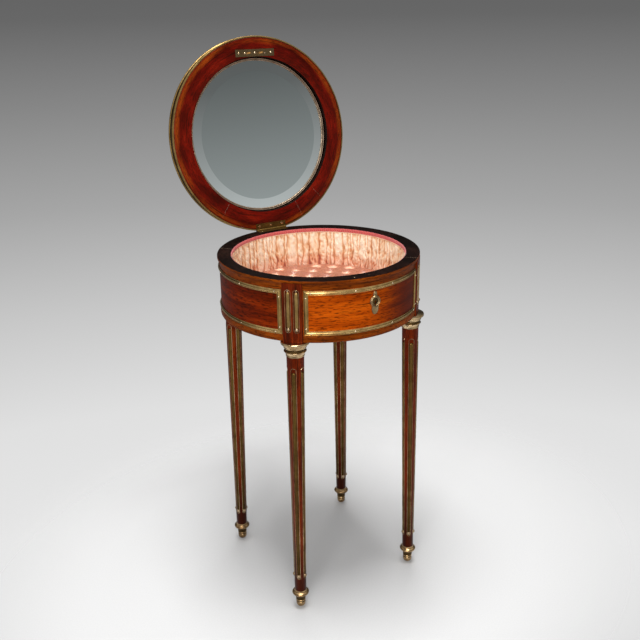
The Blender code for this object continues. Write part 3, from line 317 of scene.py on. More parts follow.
def ruched_silk():
    """Thin silk gathered on the wall: cream on the crests, painted shade deepening the folds to peach and darkening
    the foot, and a rose tint above the pad as a painted reflection of the pad.

    Threads of about 0.3 mm are too fine to show, so slubs are drawn some 2 mm wide along the pleats."""
    mat, tree, shader = blank_finish("ruched_silk")
    place = add(tree, "ShaderNodeTexCoord").outputs["Object"]
    parts, radius = from_axis(tree, place)
    laid = add(tree, "ShaderNodeMapping", {"Vector": place, "Scale": per_mm(2.0, 2.0, 45.0)})
    slub = add(tree, "ShaderNodeTexNoise", {"Vector": laid.outputs[0], "Scale": 1.0, "Detail": 4.0,
                                            "Roughness": 0.6})
    wide = add(tree, "ShaderNodeTexNoise", {"Vector": place, "Scale": 1000.0 / 38.0, "Detail": 2.0})
    # Painted shade: darker in the folds near the wall and towards the pad
    depth = add(tree, "ShaderNodeMapRange", {0: radius, 1: WELL - 4.4 * MM, 2: WELL - 1.7 * MM})
    foot = add(tree, "ShaderNodeMapRange", {0: parts[2], 1: PAD_TOP, 2: PAD_TOP + 25.0 * MM, 3: 0.22, 4: 0.0})
    stir = add(tree, "ShaderNodeMath", {0: slub.outputs[0], 1: 0.40, 2: depth.outputs[0]}, operation="MULTIPLY_ADD")
    drift = add(tree, "ShaderNodeMath", {0: wide.outputs[0], 1: 0.45, 2: stir.outputs[0]}, operation="MULTIPLY_ADD")
    total = add(tree, "ShaderNodeMath", {0: drift.outputs[0], 1: foot.outputs[0]}, operation="ADD")
    scaled = add(tree, "ShaderNodeMath", {0: total.outputs[0], 1: 0.5}, operation="MULTIPLY")
    colour = add(tree, "ShaderNodeValToRGB", {0: scaled.outputs[0]},
                 [(0.20, "#fff1d8"), (0.38, "#f9dcb6"), (0.58, "#dd9f6e"), (0.74, "#8e4020")])
    # Painted reflection: a rose tint from the pad just above it
    pad_bounce = add(tree, "ShaderNodeMapRange", {0: parts[2], 1: PAD_TOP, 2: PAD_TOP + 24.0 * MM, 3: 0.35, 4: 0.0})
    colour = add(tree, "ShaderNodeMix", {0: pad_bounce.outputs[0], 6: colour.outputs[0], 7: tint("#e4877a")},
                 data_type="RGBA")
    relief = add(tree, "ShaderNodeBump", {"Strength": 0.35, "Distance": 0.3 * MM, "Height": slub.outputs[0]})
    tree.links.new(colour.outputs[2], shader.inputs["Base Color"])
    tree.links.new(relief.outputs[0], shader.inputs["Normal"])
    shader.inputs["Roughness"].default_value = 0.42
    shader.inputs["Sheen Weight"].default_value = 0.06
    shader.inputs["Sheen Roughness"].default_value = 0.35
    shader.inputs["Sheen Tint"].default_value = tint("#ffe6d0")
    return mat


def tufted_satin():
    """Salmon satin over wadding: deep rose in the tufts as painted shade, and a painted highlight pale where a taut
    fold turns to the light.
    """
    mat, tree, shader = blank_finish("tufted_satin")
    place = add(tree, "ShaderNodeTexCoord").outputs["Object"]
    parts, radius = from_axis(tree, place)
    cloud = add(tree, "ShaderNodeTexNoise", {"Vector": place, "Scale": 1000.0 / 18.0, "Detail": 3.0})
    # Painted shade deep in the tufts, painted highlight on their slopes
    depth = add(tree, "ShaderNodeMapRange", {0: parts[2], 1: PAD_TOP - 8.0 * MM, 2: PAD_TOP})
    stir = add(tree, "ShaderNodeMath", {0: cloud.outputs[0], 1: 0.35, 2: depth.outputs[0]}, operation="MULTIPLY_ADD")
    scaled = add(tree, "ShaderNodeMath", {0: stir.outputs[0], 1: 0.75}, operation="MULTIPLY")
    colour = add(tree, "ShaderNodeValToRGB", {0: scaled.outputs[0]},
                 [(0.10, "#8a4630"), (0.32, "#eebc9e"), (0.56, "#a0614a"), (0.92, "#935740")])
    laid = add(tree, "ShaderNodeMapping", {"Vector": place, "Scale": per_mm(1.2, 30.0, 30.0)})
    thread = add(tree, "ShaderNodeTexNoise", {"Vector": laid.outputs[0], "Scale": 1.0, "Detail": 2.0})
    relief = add(tree, "ShaderNodeBump", {"Strength": 0.15, "Distance": 0.2 * MM, "Height": thread.outputs[0]})
    tree.links.new(colour.outputs[0], shader.inputs["Base Color"])
    tree.links.new(relief.outputs[0], shader.inputs["Normal"])
    shader.inputs["Roughness"].default_value = 0.36
    shader.inputs["Specular IOR Level"].default_value = 0.8
    shader.inputs["Sheen Weight"].default_value = 0.25
    shader.inputs["Sheen Roughness"].default_value = 0.3
    shader.inputs["Sheen Tint"].default_value = tint("#ffd9c4")
    return mat


def coral_braid():
    """Woven silk gimp: matt coral, painted shade darkening the gaps between its plaits."""
    mat, tree, shader = blank_finish("woven_coral_braid")
    place = add(tree, "ShaderNodeTexCoord").outputs["Object"]
    parts, radius = from_axis(tree, place)
    fuzz = add(tree, "ShaderNodeTexNoise", {"Vector": place, "Scale": 1000.0 / 1.2, "Detail": 3.0})
    # Painted shade: darker where the plaits sink towards the wall
    depth = add(tree, "ShaderNodeMapRange", {0: radius, 1: BRAID_OUT - 2.0 * MM, 2: BRAID_OUT - 0.8 * MM})
    stir = add(tree, "ShaderNodeMath", {0: fuzz.outputs[0], 1: 0.5, 2: depth.outputs[0]}, operation="MULTIPLY_ADD")
    scaled = add(tree, "ShaderNodeMath", {0: stir.outputs[0], 1: 0.7}, operation="MULTIPLY")
    colour = add(tree, "ShaderNodeValToRGB", {0: scaled.outputs[0]},
                 [(0.15, "#e0706a"), (0.45, "#cf5a56"), (0.80, "#a03c3c")])
    relief = add(tree, "ShaderNodeBump", {"Strength": 0.4, "Distance": 0.2 * MM, "Height": fuzz.outputs[0]})
    tree.links.new(colour.outputs[0], shader.inputs["Base Color"])
    tree.links.new(relief.outputs[0], shader.inputs["Normal"])
    shader.inputs["Roughness"].default_value = 0.78
    shader.inputs["Sheen Weight"].default_value = 0.3
    return mat


MIRROR, SILK, SATIN, BRAID = silvered_glass(), ruched_silk(), tufted_satin(), coral_braid()


def fade(a, b, t):
    return a + (b - a) * t


def spaced(a, b, count):
    return [fade(a, b, k / (count - 1)) for k in range(count)]


def bowed(path, steps=8):
    """Outline through corners (radius, height, bow); a bow swells or hollows the stretch that leads to its corner."""
    line = []
    for (r0, z0, _), (r1, z1, bow) in zip(path, path[1:]):
        length = math.hypot(r1 - r0, z1 - z0)
        count = steps if bow else 1
        for k in range(count):
            t = k / count
            lift = 4.0 * bow * t * (1.0 - t) / length
            line.append((fade(r0, r1, t) + (z1 - z0) * lift, fade(z0, z1, t) - (r1 - r0) * lift))
    line.append(path[-1][:2])
    return line


def turned(profile, count, start=0.0, sweep=math.tau):
    """Revolve a closed (radius, height) outline about Z, all the way or over an arc."""
    bm = bmesh.new()
    full = sweep >= math.tau - 1e-9
    columns = count if full else count + 1
    angles = [start + sweep * k / count for k in range(columns)]
    rows = []
    for radius, height in profile:
        if radius < 1e-7:
            rows.append([bm.verts.new((0.0, 0.0, height))] * columns)
        else:
            rows.append([bm.verts.new((radius * math.cos(a), radius * math.sin(a), height)) for a in angles])
    for low, high in zip(rows, rows[1:] + rows[:1]):
        for k in range(count):
            m = (k + 1) % columns
            corners = list(dict.fromkeys((low[k], low[m], high[m], high[k])))
            if len(corners) > 2:
                bm.faces.new(corners)
    if not full:
        bm.faces.new([row[0] for row in rows])
        bm.faces.new([row[-1] for row in rows])
    return bm


def skin(bm, rows, closed=False):
    """Faces between rings of equal count, all the way round each ring."""
    for low, high in zip(rows, rows[1:] + rows[:1] if closed else rows[1:]):
        for k in range(len(low)):
            m = (k + 1) % len(low)
            bm.faces.new((low[k], low[m], high[m], high[k]))


def loft(rings, bm=None):
    """Skin closed rings of points, and cap both ends."""
    bm = bm or bmesh.new()
    rows = [[bm.verts.new(p) for p in ring] for ring in rings]
    skin(bm, rows)
    bm.faces.new(rows[0])
    bm.faces.new(rows[-1])
    return bm


def block(x, y, z):
    """Square-sided cutter."""
    return loft([[(x[0], y[0], h), (x[1], y[0], h), (x[1], y[1], h), (x[0], y[1], h)] for h in z])


def carve(bm, *cutters):
    """Cut closed shapes out of a closed shape."""
    def solid(shape):
        bmesh.ops.recalc_face_normals(shape, faces=shape.faces)
        mesh = bpy.data.meshes.new("blank")
        shape.to_mesh(mesh)
        shape.free()
        ob = bpy.data.objects.new("blank", mesh)
        scene.collection.objects.link(ob)
        return ob
    work = solid(bm)
    tools = [solid(c) for c in cutters]
    for tool in tools:
        step = work.modifiers.new("cut", "BOOLEAN")
        step.operation = "DIFFERENCE"
        step.solver = "EXACT"
        step.object = tool
    bpy.context.view_layer.update()
    mesh = bpy.data.meshes.new_from_object(work.evaluated_get(bpy.context.evaluated_depsgraph_get()))
    made = bmesh.new()
    made.from_mesh(mesh)
    for ob in [work] + tools:
        bpy.data.objects.remove(ob, do_unlink=True)
    bpy.data.meshes.remove(mesh)
    return made


def upright_on(place, outward):
    """Matrix that stands a shape on a surface."""
    return Matrix.Translation(place) @ Vector(outward).to_track_quat("Z", "Y").to_matrix().to_4x4()


def dome(bm, place, outward, radius, flat=1.0, finish=0):
    """Round head of a pin, or a bead, set on a surface."""
    seat = upright_on(place, outward) @ Matrix.Diagonal((1.0, 1.0, flat, 1.0))
    made = bmesh.ops.create_uvsphere(bm, u_segments=16, v_segments=10, radius=radius, matrix=seat)
    for vert in made["verts"]:
        for face in vert.link_faces:
            face.material_index = finish


def wire(bm, path, radius, finish=0):
    """Thin round wire along a closed path of (point, outward) pairs."""
    rings = []
    for k, (point, outward) in enumerate(path):
        ahead = (path[(k + 1) % len(path)][0] - path[k - 1][0]).normalized()
        aside = ahead.cross(outward).normalized()
        turns = [math.tau * n / 6 for n in range(6)]
        rings.append([bm.verts.new(point + radius * (aside * math.cos(a) + outward * math.sin(a))) for a in turns])
    first = len(bm.faces)
    skin(bm, rings, closed=True)
    bm.faces.ensure_lookup_table()
    for face in bm.faces[first:]:
        face.material_index = finish


def screws(spots, radius, proud=0.12 * MM):
    """Slotted countersunk heads, one at each (place, outward, slot angle); two nearly flush ones clear each other."""
    heads, slots = bmesh.new(), bmesh.new()
    outline = bowed([(0.0, -1.0 * MM, 0.0), (radius, -1.0 * MM, 0.0), (radius, 0.0, 0.0),
                     (0.92 * radius, 0.55 * proud, 0.10 * proud), (0.0, proud, 0.20 * proud)])
    for place, outward, angle in spots:
        seat = upright_on(place, outward) @ Matrix.Rotation(math.radians(angle), 4, "Z")
        slot = block((-1.2 * radius, 1.2 * radius), (-0.17 * radius, 0.17 * radius), (-0.1 * MM, 2.0 * MM))
        for whole, part in ((heads, turned(outline, 28)), (slots, slot)):
            part.transform(seat)
            mesh = bpy.data.meshes.new("blank")
            part.to_mesh(mesh)
            part.free()
            whole.from_mesh(mesh)
            bpy.data.meshes.remove(mesh)
    return carve(heads, slots)


def piece(name, bm, mats, body, nodes=(), place=None, sharp=36.0, turn=0.0):
    """Make a named piece from a shape, seat it on its body and let it stand for its solids."""
    bmesh.ops.recalc_face_normals(bm, faces=bm.faces)
    if turn:
        bm.transform(Matrix.Rotation(math.radians(turn), 4, "Z"))
    mesh = bpy.data.meshes.new(name)
    bm.to_mesh(mesh)
    bm.free()
    for mat in mats if isinstance(mats, list) else [mats]:
        mesh.materials.append(mat)
    mesh.shade_smooth()
    mesh.set_sharp_from_angle(angle=math.radians(sharp))
    ob = bpy.data.objects.new(name, mesh)
    scene.collection.objects.link(ob)
    if place is not None:
        ob.matrix_world = place
    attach(ob, body)
    if nodes:
        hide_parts(*nodes)
    return ob


def choose_finish(bm, test, finish):
    """Give another of the piece's finishes to the faces whose middle passes a test."""
    for face in bm.faces:
        middle = face.calc_center_median()
        if test(middle, math.hypot(middle.x, middle.y)):
            face.material_index = finish


# Rails of the drum
def keyhole(near, far):
    """Round and slot of the keyhole along Y, as two cutters."""
    turns = [math.tau * k / 20 for k in range(20)]
    middle = KEY_Z - 1.0 * MM
    ring = [(2.2 * MM * math.cos(a), middle + 2.2 * MM * math.sin(a)) for a in turns]
    round_part = loft([[(x, y, z) for x, z in ring] for y in (near, far)])
    return [round_part, block((-1.2 * MM, 1.2 * MM), (near, far), (middle - 7.5 * MM, middle))]


def rail_shape():
    """Wall of one panel: eased base band, flat frieze, and a cove that spreads to the rim."""
    low, high = FRAME_LOW - GAP, FRAME_HIGH + GAP
    outline = bowed([(WALL_INSIDE, DRUM_BOTTOM, 0), (BASE_BAND - 2.0 * MM, DRUM_BOTTOM, 0),
                     (BASE_BAND, DRUM_BOTTOM + 3.0 * MM, 0.5 * MM), (BASE_BAND, low - 0.9 * MM, 0),
                     (BASE_BAND - 0.8 * MM, low, 0.15 * MM), (FRIEZE, low, 0), (FRIEZE, high, 0),
                     (BROW, WALL_TOP, -0.9 * MM), (WALL_INSIDE, WALL_TOP, 0)])
    sweep = 0.5 * math.pi - 2.0 * RAIL_START
    return turned(outline, 72, -0.5 * sweep, sweep)


for side, angle in SIDES.items():
    rail = rail_shape()
    rail.transform(Matrix.Rotation(math.radians(angle), 4, "Z"))
    if side == "front":
        rail = carve(rail, *keyhole(-RIM_RADIUS - 5.0 * MM, -WALL_INSIDE + 7.0 * MM))
    choose_finish(rail, lambda p, r: FRAME_LOW < p.z < FRAME_HIGH and r > FRIEZE - MM, 1)
    panel = FRONT_VENEER if side == "front" else SIDE_VENEER
    piece("veneered_rail_" + side, rail, [BAND_VENEER, panel], "table", ["frieze_rail_" + side])


# Brass frames on the panels
def on_frieze(angle, height, proud):
    radius = FRIEZE + GAP + proud
    return Vector((radius * math.cos(angle), radius * math.sin(angle), height))


def frame_shape():
    """Drawn strip, mitred at its corners and pinned: a half-round between two narrow fillets."""
    section = [(0.0, 0.0), (0.0, 0.9), (0.35, 1.2), (1.0, 1.2), (1.25, 0.95)]
    section += [(1.25 + 6.0 * t, 0.95 + 1.65 * math.sin(math.pi * t)) for t in spaced(0.0, 1.0, 13)[1:-1]]
    section += [(7.25, 0.95), (7.5, 1.2), (8.15, 1.2), (8.5, 0.9), (8.5, 0.0)]
    bm = bmesh.new()
    rows = []
    reach = 0.25 * math.pi - RAIL_START
    for across, height in section:
        end = reach - (FRAME_END + across * MM) / FRIEZE
        angles = spaced(-end, end, 65)
        loop = [on_frieze(a, FRAME_LOW + across * MM, height * MM) for a in angles]
        loop += [on_frieze(a, FRAME_HIGH - across * MM, height * MM) for a in reversed(angles)]
        rows.append([bm.verts.new(p) for p in loop])
    skin(bm, rows, closed=True)
    # The upright strips take the darker reed finish, as painted shade
    choose_finish(bm, lambda p, r: FRAME_LOW + FRAME_STRIP < p.z < FRAME_HIGH - FRAME_STRIP, 2)
    end = reach - FRAME_END / FRIEZE
    middle = 0.5 * FRAME_STRIP
    for mirror in (-1.0, 1.0):
        for height, inward in ((FRAME_LOW + middle, 1.0), (FRAME_HIGH - middle, -1.0)):
            spots = [on_frieze(mirror * share, height, 2.3 * MM) for share in (end - 13.0 * MM / FRIEZE, 0.30 * end)]
            spots.append(on_frieze(mirror * (end - middle / FRIEZE), height + inward * 9.5 * MM, 2.3 * MM))
            for spot in spots:
                dome(bm, spot, (spot.x, spot.y, 0.0), 1.5 * MM, 0.7, 1)
    return bm


for side, angle in SIDES.items():
    piece("brass_panel_frame_" + side, frame_shape(), [BRASS_STRIP, BRIGHT_BRASS, REED_BRASS], "table",
          ["panel_frame_" + side], sharp=30.0, turn=angle)


# Posts, with two short flutes each, edged with brass; a reed and a bead lie in each flute
POST_FLUTE_LOW = DRUM_BOTTOM + 19.5 * MM
POST_FLUTE_HIGH = RIM_TOP - 17.0 * MM
POST_FLUTE_HALF = 5.3 * MM
POST_FLUTE_SINK = 2.1 * MM
POST_FLUTES = (-7.8 * MM, 7.8 * MM)


def flute_end(height, low, high, half, sink):
    """Half width and depth of a flute whose ends are rounded and scooped."""
    reach = min(height - low, high - height)
    if reach <= 0.0:
        return 0.04 * half, 0.0
    opening = math.sqrt(1.0 - (1.0 - min(reach / half, 1.0)) ** 2)
    scoop = math.sqrt(1.0 - (1.0 - min(reach / (0.8 * half), 1.0)) ** 2)
    return half * max(opening, 0.04), sink * scoop


def flute_levels(low, high, half, straight):
    """Heights along a flute, close together at its rounded ends."""
    ends = [half * (1.0 - math.cos(0.5 * math.pi * k / 9)) for k in range(10)]
    run = spaced(low + half, high - half, straight)[1:-1]
    return [low + e for e in ends] + run + [high - e for e in reversed(ends)]


def post_point(aside, height, cut=0.0):
    angle = aside / RIM_RADIUS
    return Vector(((POST_FACE - cut) * math.cos(angle), (POST_FACE - cut) * math.sin(angle), height))


def post_ring(height):
    half, sink = flute_end(height, POST_FLUTE_LOW, POST_FLUTE_HIGH, POST_FLUTE_HALF, POST_FLUTE_SINK)
    edge = 0.5 * POST_WIDTH
    ease = [(0.0, 0.5 * MM), (0.25 * MM, 0.15 * MM), (0.7 * MM, 0.0)]
    across = [(inset - edge, cut) for inset, cut in ease]
    last = across[-1][0]
    for middle in POST_FLUTES:
        across += [(s, 0.0) for s in spaced(last, middle - half, 5)[1:-1]]
        across += [(middle + half * u, sink * math.sqrt(max(1.0 - u * u, 0.0))) for u in spaced(-1.0, 1.0, 15)]
        last = middle + half
    across += [(s, 0.0) for s in spaced(last, edge - 0.7 * MM, 5)[1:-1]]
    across += [(edge - inset, cut) for inset, cut in reversed(ease)]
    back = [(WALL_INSIDE * math.cos(a), WALL_INSIDE * math.sin(a), height) for a in (POST_HALF, 0.0, -POST_HALF)]
    return [tuple(post_point(s, height, cut)) for s, cut in across] + back


def reed(bm, seat, low, high, half, floor, crown, straight=8):
    """Half-round bar with rounded ends; seat(height) gives its line, its outward and its sideways direction."""
    width = half(0.5 * (low + high))
    arc = [math.pi * k / 10 for k in range(11)]
    rings = []
    for height in flute_levels(low, high, width, straight):
        line, outward, aside = seat(height)
        reach = min(min(height - low, high - height) / width, 1.0)
        swell = max(math.sqrt(max(1.0 - (1.0 - reach) ** 2, 0.0)), 0.10)
        rings.append([tuple(line + aside * (half(height) * swell * math.cos(a))
                            + outward * fade(floor, crown, swell * math.sin(a))) for a in arc])
    return loft(rings, bm)


def post_inlay():
    """Brass of one post: reeds, beads, the pins above them and the wire edge of each flute."""
    bm = bmesh.new()
    levels = flute_levels(POST_FLUTE_LOW, POST_FLUTE_HIGH, POST_FLUTE_HALF, 8)
    for middle in POST_FLUTES:
        turn = middle / RIM_RADIUS
        outward = Vector((math.cos(turn), math.sin(turn), 0.0))
        aside = Vector((-math.sin(turn), math.cos(turn), 0.0))
        reed(bm, lambda h: (outward * POST_FACE + Vector((0.0, 0.0, h)), outward, aside),
             POST_FLUTE_LOW + 6.5 * MM, POST_FLUTE_HIGH - 4.0 * MM, lambda h: 3.7 * MM, -1.9 * MM, 0.5 * MM)
        dome(bm, post_point(middle, POST_FLUTE_LOW + 5.6 * MM, 0.6 * MM), outward, 3.9 * MM, 0.95, 2)
        dome(bm, post_point(middle, POST_FLUTE_HIGH - 2.8 * MM, 0.6 * MM), outward, 1.7 * MM, 1.0, 2)
        halves = [flute_end(h, POST_FLUTE_LOW, POST_FLUTE_HIGH, POST_FLUTE_HALF, 0.0)[0] for h in levels]
        path = [(post_point(middle + half, h), outward) for half, h in zip(halves, levels)]
        path += [(post_point(middle - half, h), outward) for half, h in zip(reversed(halves), reversed(levels))]
        wire(bm, path, 0.45 * MM, 1)
    return bm


post_levels = [DRUM_BOTTOM, DRUM_BOTTOM + 0.6 * MM, POST_FLUTE_LOW - 0.5 * MM]
post_levels += flute_levels(POST_FLUTE_LOW, POST_FLUTE_HIGH, POST_FLUTE_HALF, 8)
post_levels += [POST_FLUTE_HIGH + 0.5 * MM, WALL_TOP]
for corner, angle in CORNERS.items():
    piece("fluted_post_" + corner, loft([post_ring(h) for h in post_levels]), MAHOGANY, "table",
          ["post_" + corner], turn=angle)
    piece("post_inlay_" + corner, post_inlay(), [REED_BRASS, BRASS, BEAD_BRASS], "table",
          sharp=50.0, turn=angle)

# Rim: flat ring with eased edges, notched for the hinge; stained black on top, veneered on its edge
rim = turned(bowed([(RIM_INSIDE, RIM_UNDER, 0), (RIM_RADIUS - 0.8 * MM, RIM_UNDER, 0),
                    (RIM_RADIUS, RIM_UNDER + 0.8 * MM, 0.25 * MM), (RIM_RADIUS, RIM_TOP - 1.0 * MM, 0),
                    (RIM_RADIUS - 1.0 * MM, RIM_TOP, 0.3 * MM), (RIM_INSIDE + 0.7 * MM, RIM_TOP, 0),
                    (RIM_INSIDE, RIM_TOP - 0.7 * MM, 0.2 * MM), (RIM_INSIDE, RIM_UNDER, 0)])[:-1], 192)
HINGE_SIDE = 35.8 * MM
HINGE_BED = HINGE.y - 14.8 * MM
hinge_notch = block((-HINGE_SIDE, HINGE_SIDE), (HINGE.y - 3.6 * MM, 0.22), (HINGE.z - 3.6 * MM, HINGE.z + 3.6 * MM))
hinge_bed = block((-HINGE_SIDE, HINGE_SIDE), (HINGE_BED, HINGE.y), (RIM_TOP - 2.1 * MM, RIM_TOP + 7.0 * MM))
cuts = [hinge_notch, hinge_bed]
for angle in (143.0, -50.0):
    joint = block((RIM_INSIDE - MM, RIM_RADIUS + MM), (-0.25 * MM, 0.25 * MM), (RIM_TOP - 0.12 * MM, RIM_TOP + MM))
    joint.transform(Matrix.Rotation(math.radians(angle), 4, "Z"))
    cuts.append(joint)
rim = carve(rim, *cuts)
choose_finish(rim, lambda p, r: r > RIM_RADIUS - 0.75 * MM and p.z < RIM_TOP - 0.25 * MM, 1)
choose_finish(rim, lambda p, r: RIM_TOP - 0.2 * MM < p.z < RIM_TOP - 0.02 * MM and r < RIM_RADIUS - 1.5 * MM
              and r > RIM_INSIDE + MM, 2)
piece("ebonised_rim_ring", rim, [EBONISED, BAND_VENEER, WORN_JOINT], "table", ["rim_ring"])
screw_ring = RIM_RADIUS - 13.0 * MM
spots = [(Vector((screw_ring * math.cos(math.radians(a)), screw_ring * math.sin(math.radians(a)), RIM_TOP)),
          (0.0, 0.0, 1.0), slot) for a, slot in ((-101.0, 25.0), (-92.0, 70.0))]
piece("rim_screws", screws(spots, 2.2 * MM), BRASS, "table")

# Legs
FLUTE_LOW, FLUTE_HIGH, FLUTE_SINK = 72.0 * MM, LEG_TOP - 20.5 * MM, 2.2 * MM


def leg_axis(height):
    return fade(LEG_FOOT_OUT, LEG_TOP_OUT, height / DRUM_BOTTOM)


def leg_radius(height):
    return fade(LEG_FOOT_RADIUS, LEG_TOP_RADIUS, (height - LEG_FOOT) / (LEG_TOP - LEG_FOOT))


def flute_half(height):
    share = min(max((height - FLUTE_LOW) / (FLUTE_HIGH - FLUTE_LOW), 0.0), 1.0)
    return fade(3.9 * MM, 5.2 * MM, share)


def leg_point(angle, height, cut=0.0):
    radius = leg_radius(height) - cut
    return Vector((leg_axis(height) + radius * math.cos(angle), radius * math.sin(angle), height))


def leg_ring(height):
    """Five hollow flutes between plain lands."""
    half, sink = flute_end(height, FLUTE_LOW, FLUTE_HIGH, flute_half(height), FLUTE_SINK)
    spread = math.asin(half / leg_radius(height))
    ring = []
    for k in range(5):
        middle = math.tau * k / 5
        hollow = [(middle + spread * u, sink * math.sqrt(max(1.0 - u * u, 0.0))) for u in spaced(-1.0, 1.0, 13)]
        land = [(a, 0.0) for a in spaced(middle + spread, middle + math.tau / 5 - spread, 7)[1:-1]]
        ring += [tuple(leg_point(a, height, cut)) for a, cut in hollow + land]
    return ring


def flute_rod(number):
    """Rod of one flute, its bead below and the wire edge round the flute."""
    turn = math.tau * number / 5
    outward = Vector((math.cos(turn), math.sin(turn), 0.0))
    aside = Vector((-math.sin(turn), math.cos(turn), 0.0))
    bm = reed(bmesh.new(), lambda h: (leg_point(turn, h), outward, aside), FLUTE_LOW + 7.5 * MM, FLUTE_HIGH - 9.0 * MM,
              lambda h: 0.76 * flute_half(h), -1.9 * MM, 0.6 * MM, 30)
    dome(bm, leg_point(turn, FLUTE_LOW + 6.5 * MM, 0.9 * MM), outward, 4.0 * MM, 1.0, 2)
    levels = flute_levels(FLUTE_LOW, FLUTE_HIGH, flute_half(FLUTE_HIGH), 30)
    spreads = [math.asin(flute_end(h, FLUTE_LOW, FLUTE_HIGH, flute_half(h), 0.0)[0] / leg_radius(h)) for h in levels]
    path = [(leg_point(turn + s, h), outward) for s, h in zip(spreads, levels)]
    path += [(leg_point(turn - s, h), outward) for s, h in zip(reversed(spreads), reversed(levels))]
    wire(bm, path, 0.35 * MM, 1)
    return bm


leg_levels = [LEG_FOOT, LEG_FOOT + 8.0 * MM, FLUTE_LOW - 0.5 * MM]
leg_levels += flute_levels(FLUTE_LOW, FLUTE_HIGH, flute_half(FLUTE_HIGH), 26)
leg_levels += [FLUTE_HIGH + 0.5 * MM, LEG_TOP - 6.0 * MM, LEG_TOP]

# Capital, from its lower edge up, in mm: flared ring, hollow neck, cup and thin top
CAPITAL_LINE = [(6.1, 0.0, 0), (17.0, 0.0, 0), (17.5, 1.0, 0.2), (17.9, 3.0, 0), (20.9, 9.4, -0.6), (21.1, 10.4, 0.3),
                (19.2, 11.2, 0), (19.0, 15.2, -0.4), (19.6, 15.8, 0), (21.6, 19.6, 0.9), (25.6, 24.2, -0.8),
                (26.4, 24.6, 0), (26.4, 28.6, 0.5), (25.8, 29.5, 0.2), (6.1, 29.5, 0)]
# The hollow neck, tarnished and darkened with painted shade
CAPITAL_DULL = [(11.1, 15.4)]
# Foot, from the floor up, in mm: bulb, two grooves, dull neck, broad collar and the slope to the leg
FOOT_LINE = [(0.0, 0.0, 0), (3.6, 0.0, 0), (9.0, 5.0, 1.2), (9.4, 11.6, 0.2), (8.9, 12.4, 0), (8.6, 13.4, -0.2),
             (9.4, 14.2, 0), (9.6, 16.8, 0.3), (9.0, 17.6, 0), (8.8, 19.0, -0.2), (10.0, 19.8, 0), (10.4, 26.5, -0.2),
             (12.5, 29.6, -0.6), (15.6, 31.2, 0), (15.6, 36.8, 1.6), (14.0, 37.6, 0), (12.3, 40.3, -0.6),
             (11.85, 42.0, 0), (0.0, 42.0, 0)]
# A groove and the neck under the collar, tarnished and darkened with painted shade
FOOT_DULL = [(12.2, 14.3), (17.4, 29.7)]


def turned_mount(line, dull, low, out):
    """Turned brass on a leg's line, tarnished and darkened with painted shade between the heights of each dull pair.
    """
    bm = turned(bowed([(r * MM, low + z * MM, bow * MM) for r, z, bow in line]), 64)
    choose_finish(bm, lambda p, r: any(a < (p.z - low) / MM < b for a, b in dull), 1)
    bm.transform(Matrix.Translation((out, 0.0, 0.0)))
    return bm


for corner, angle in CORNERS.items():
    piece("fluted_leg_" + corner, loft([leg_ring(h) for h in leg_levels]), MAHOGANY, "table", ["leg_" + corner],
          turn=angle)
    for number in range(5):
        name = "flute_rod_%s_%d" % (corner, number + 1)
        piece("brass_" + name, flute_rod(number), [BRASS_ROD, BRASS, BEAD_BRASS], "table", [name],
              sharp=50.0, turn=angle)
    piece("turned_capital_" + corner, turned_mount(CAPITAL_LINE, CAPITAL_DULL, CAPITAL_LOW, LEG_TOP_OUT),
          [BRASS, DARK_BRASS], "table", ["capital_" + corner], sharp=28.0, turn=angle)
    piece("turned_foot_" + corner, turned_mount(FOOT_LINE, FOOT_DULL, 0.0, leg_axis(FOOT_HEIGHT)),
          [FOOT_BRASS, DARK_BRASS], "table", ["foot_" + corner], sharp=28.0, turn=angle)

# Lining of the drum, cut round the lock
LOCK_SIDE = 30.9 * MM
LOCK_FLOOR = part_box("lock_case")[0][2] - 0.7 * MM


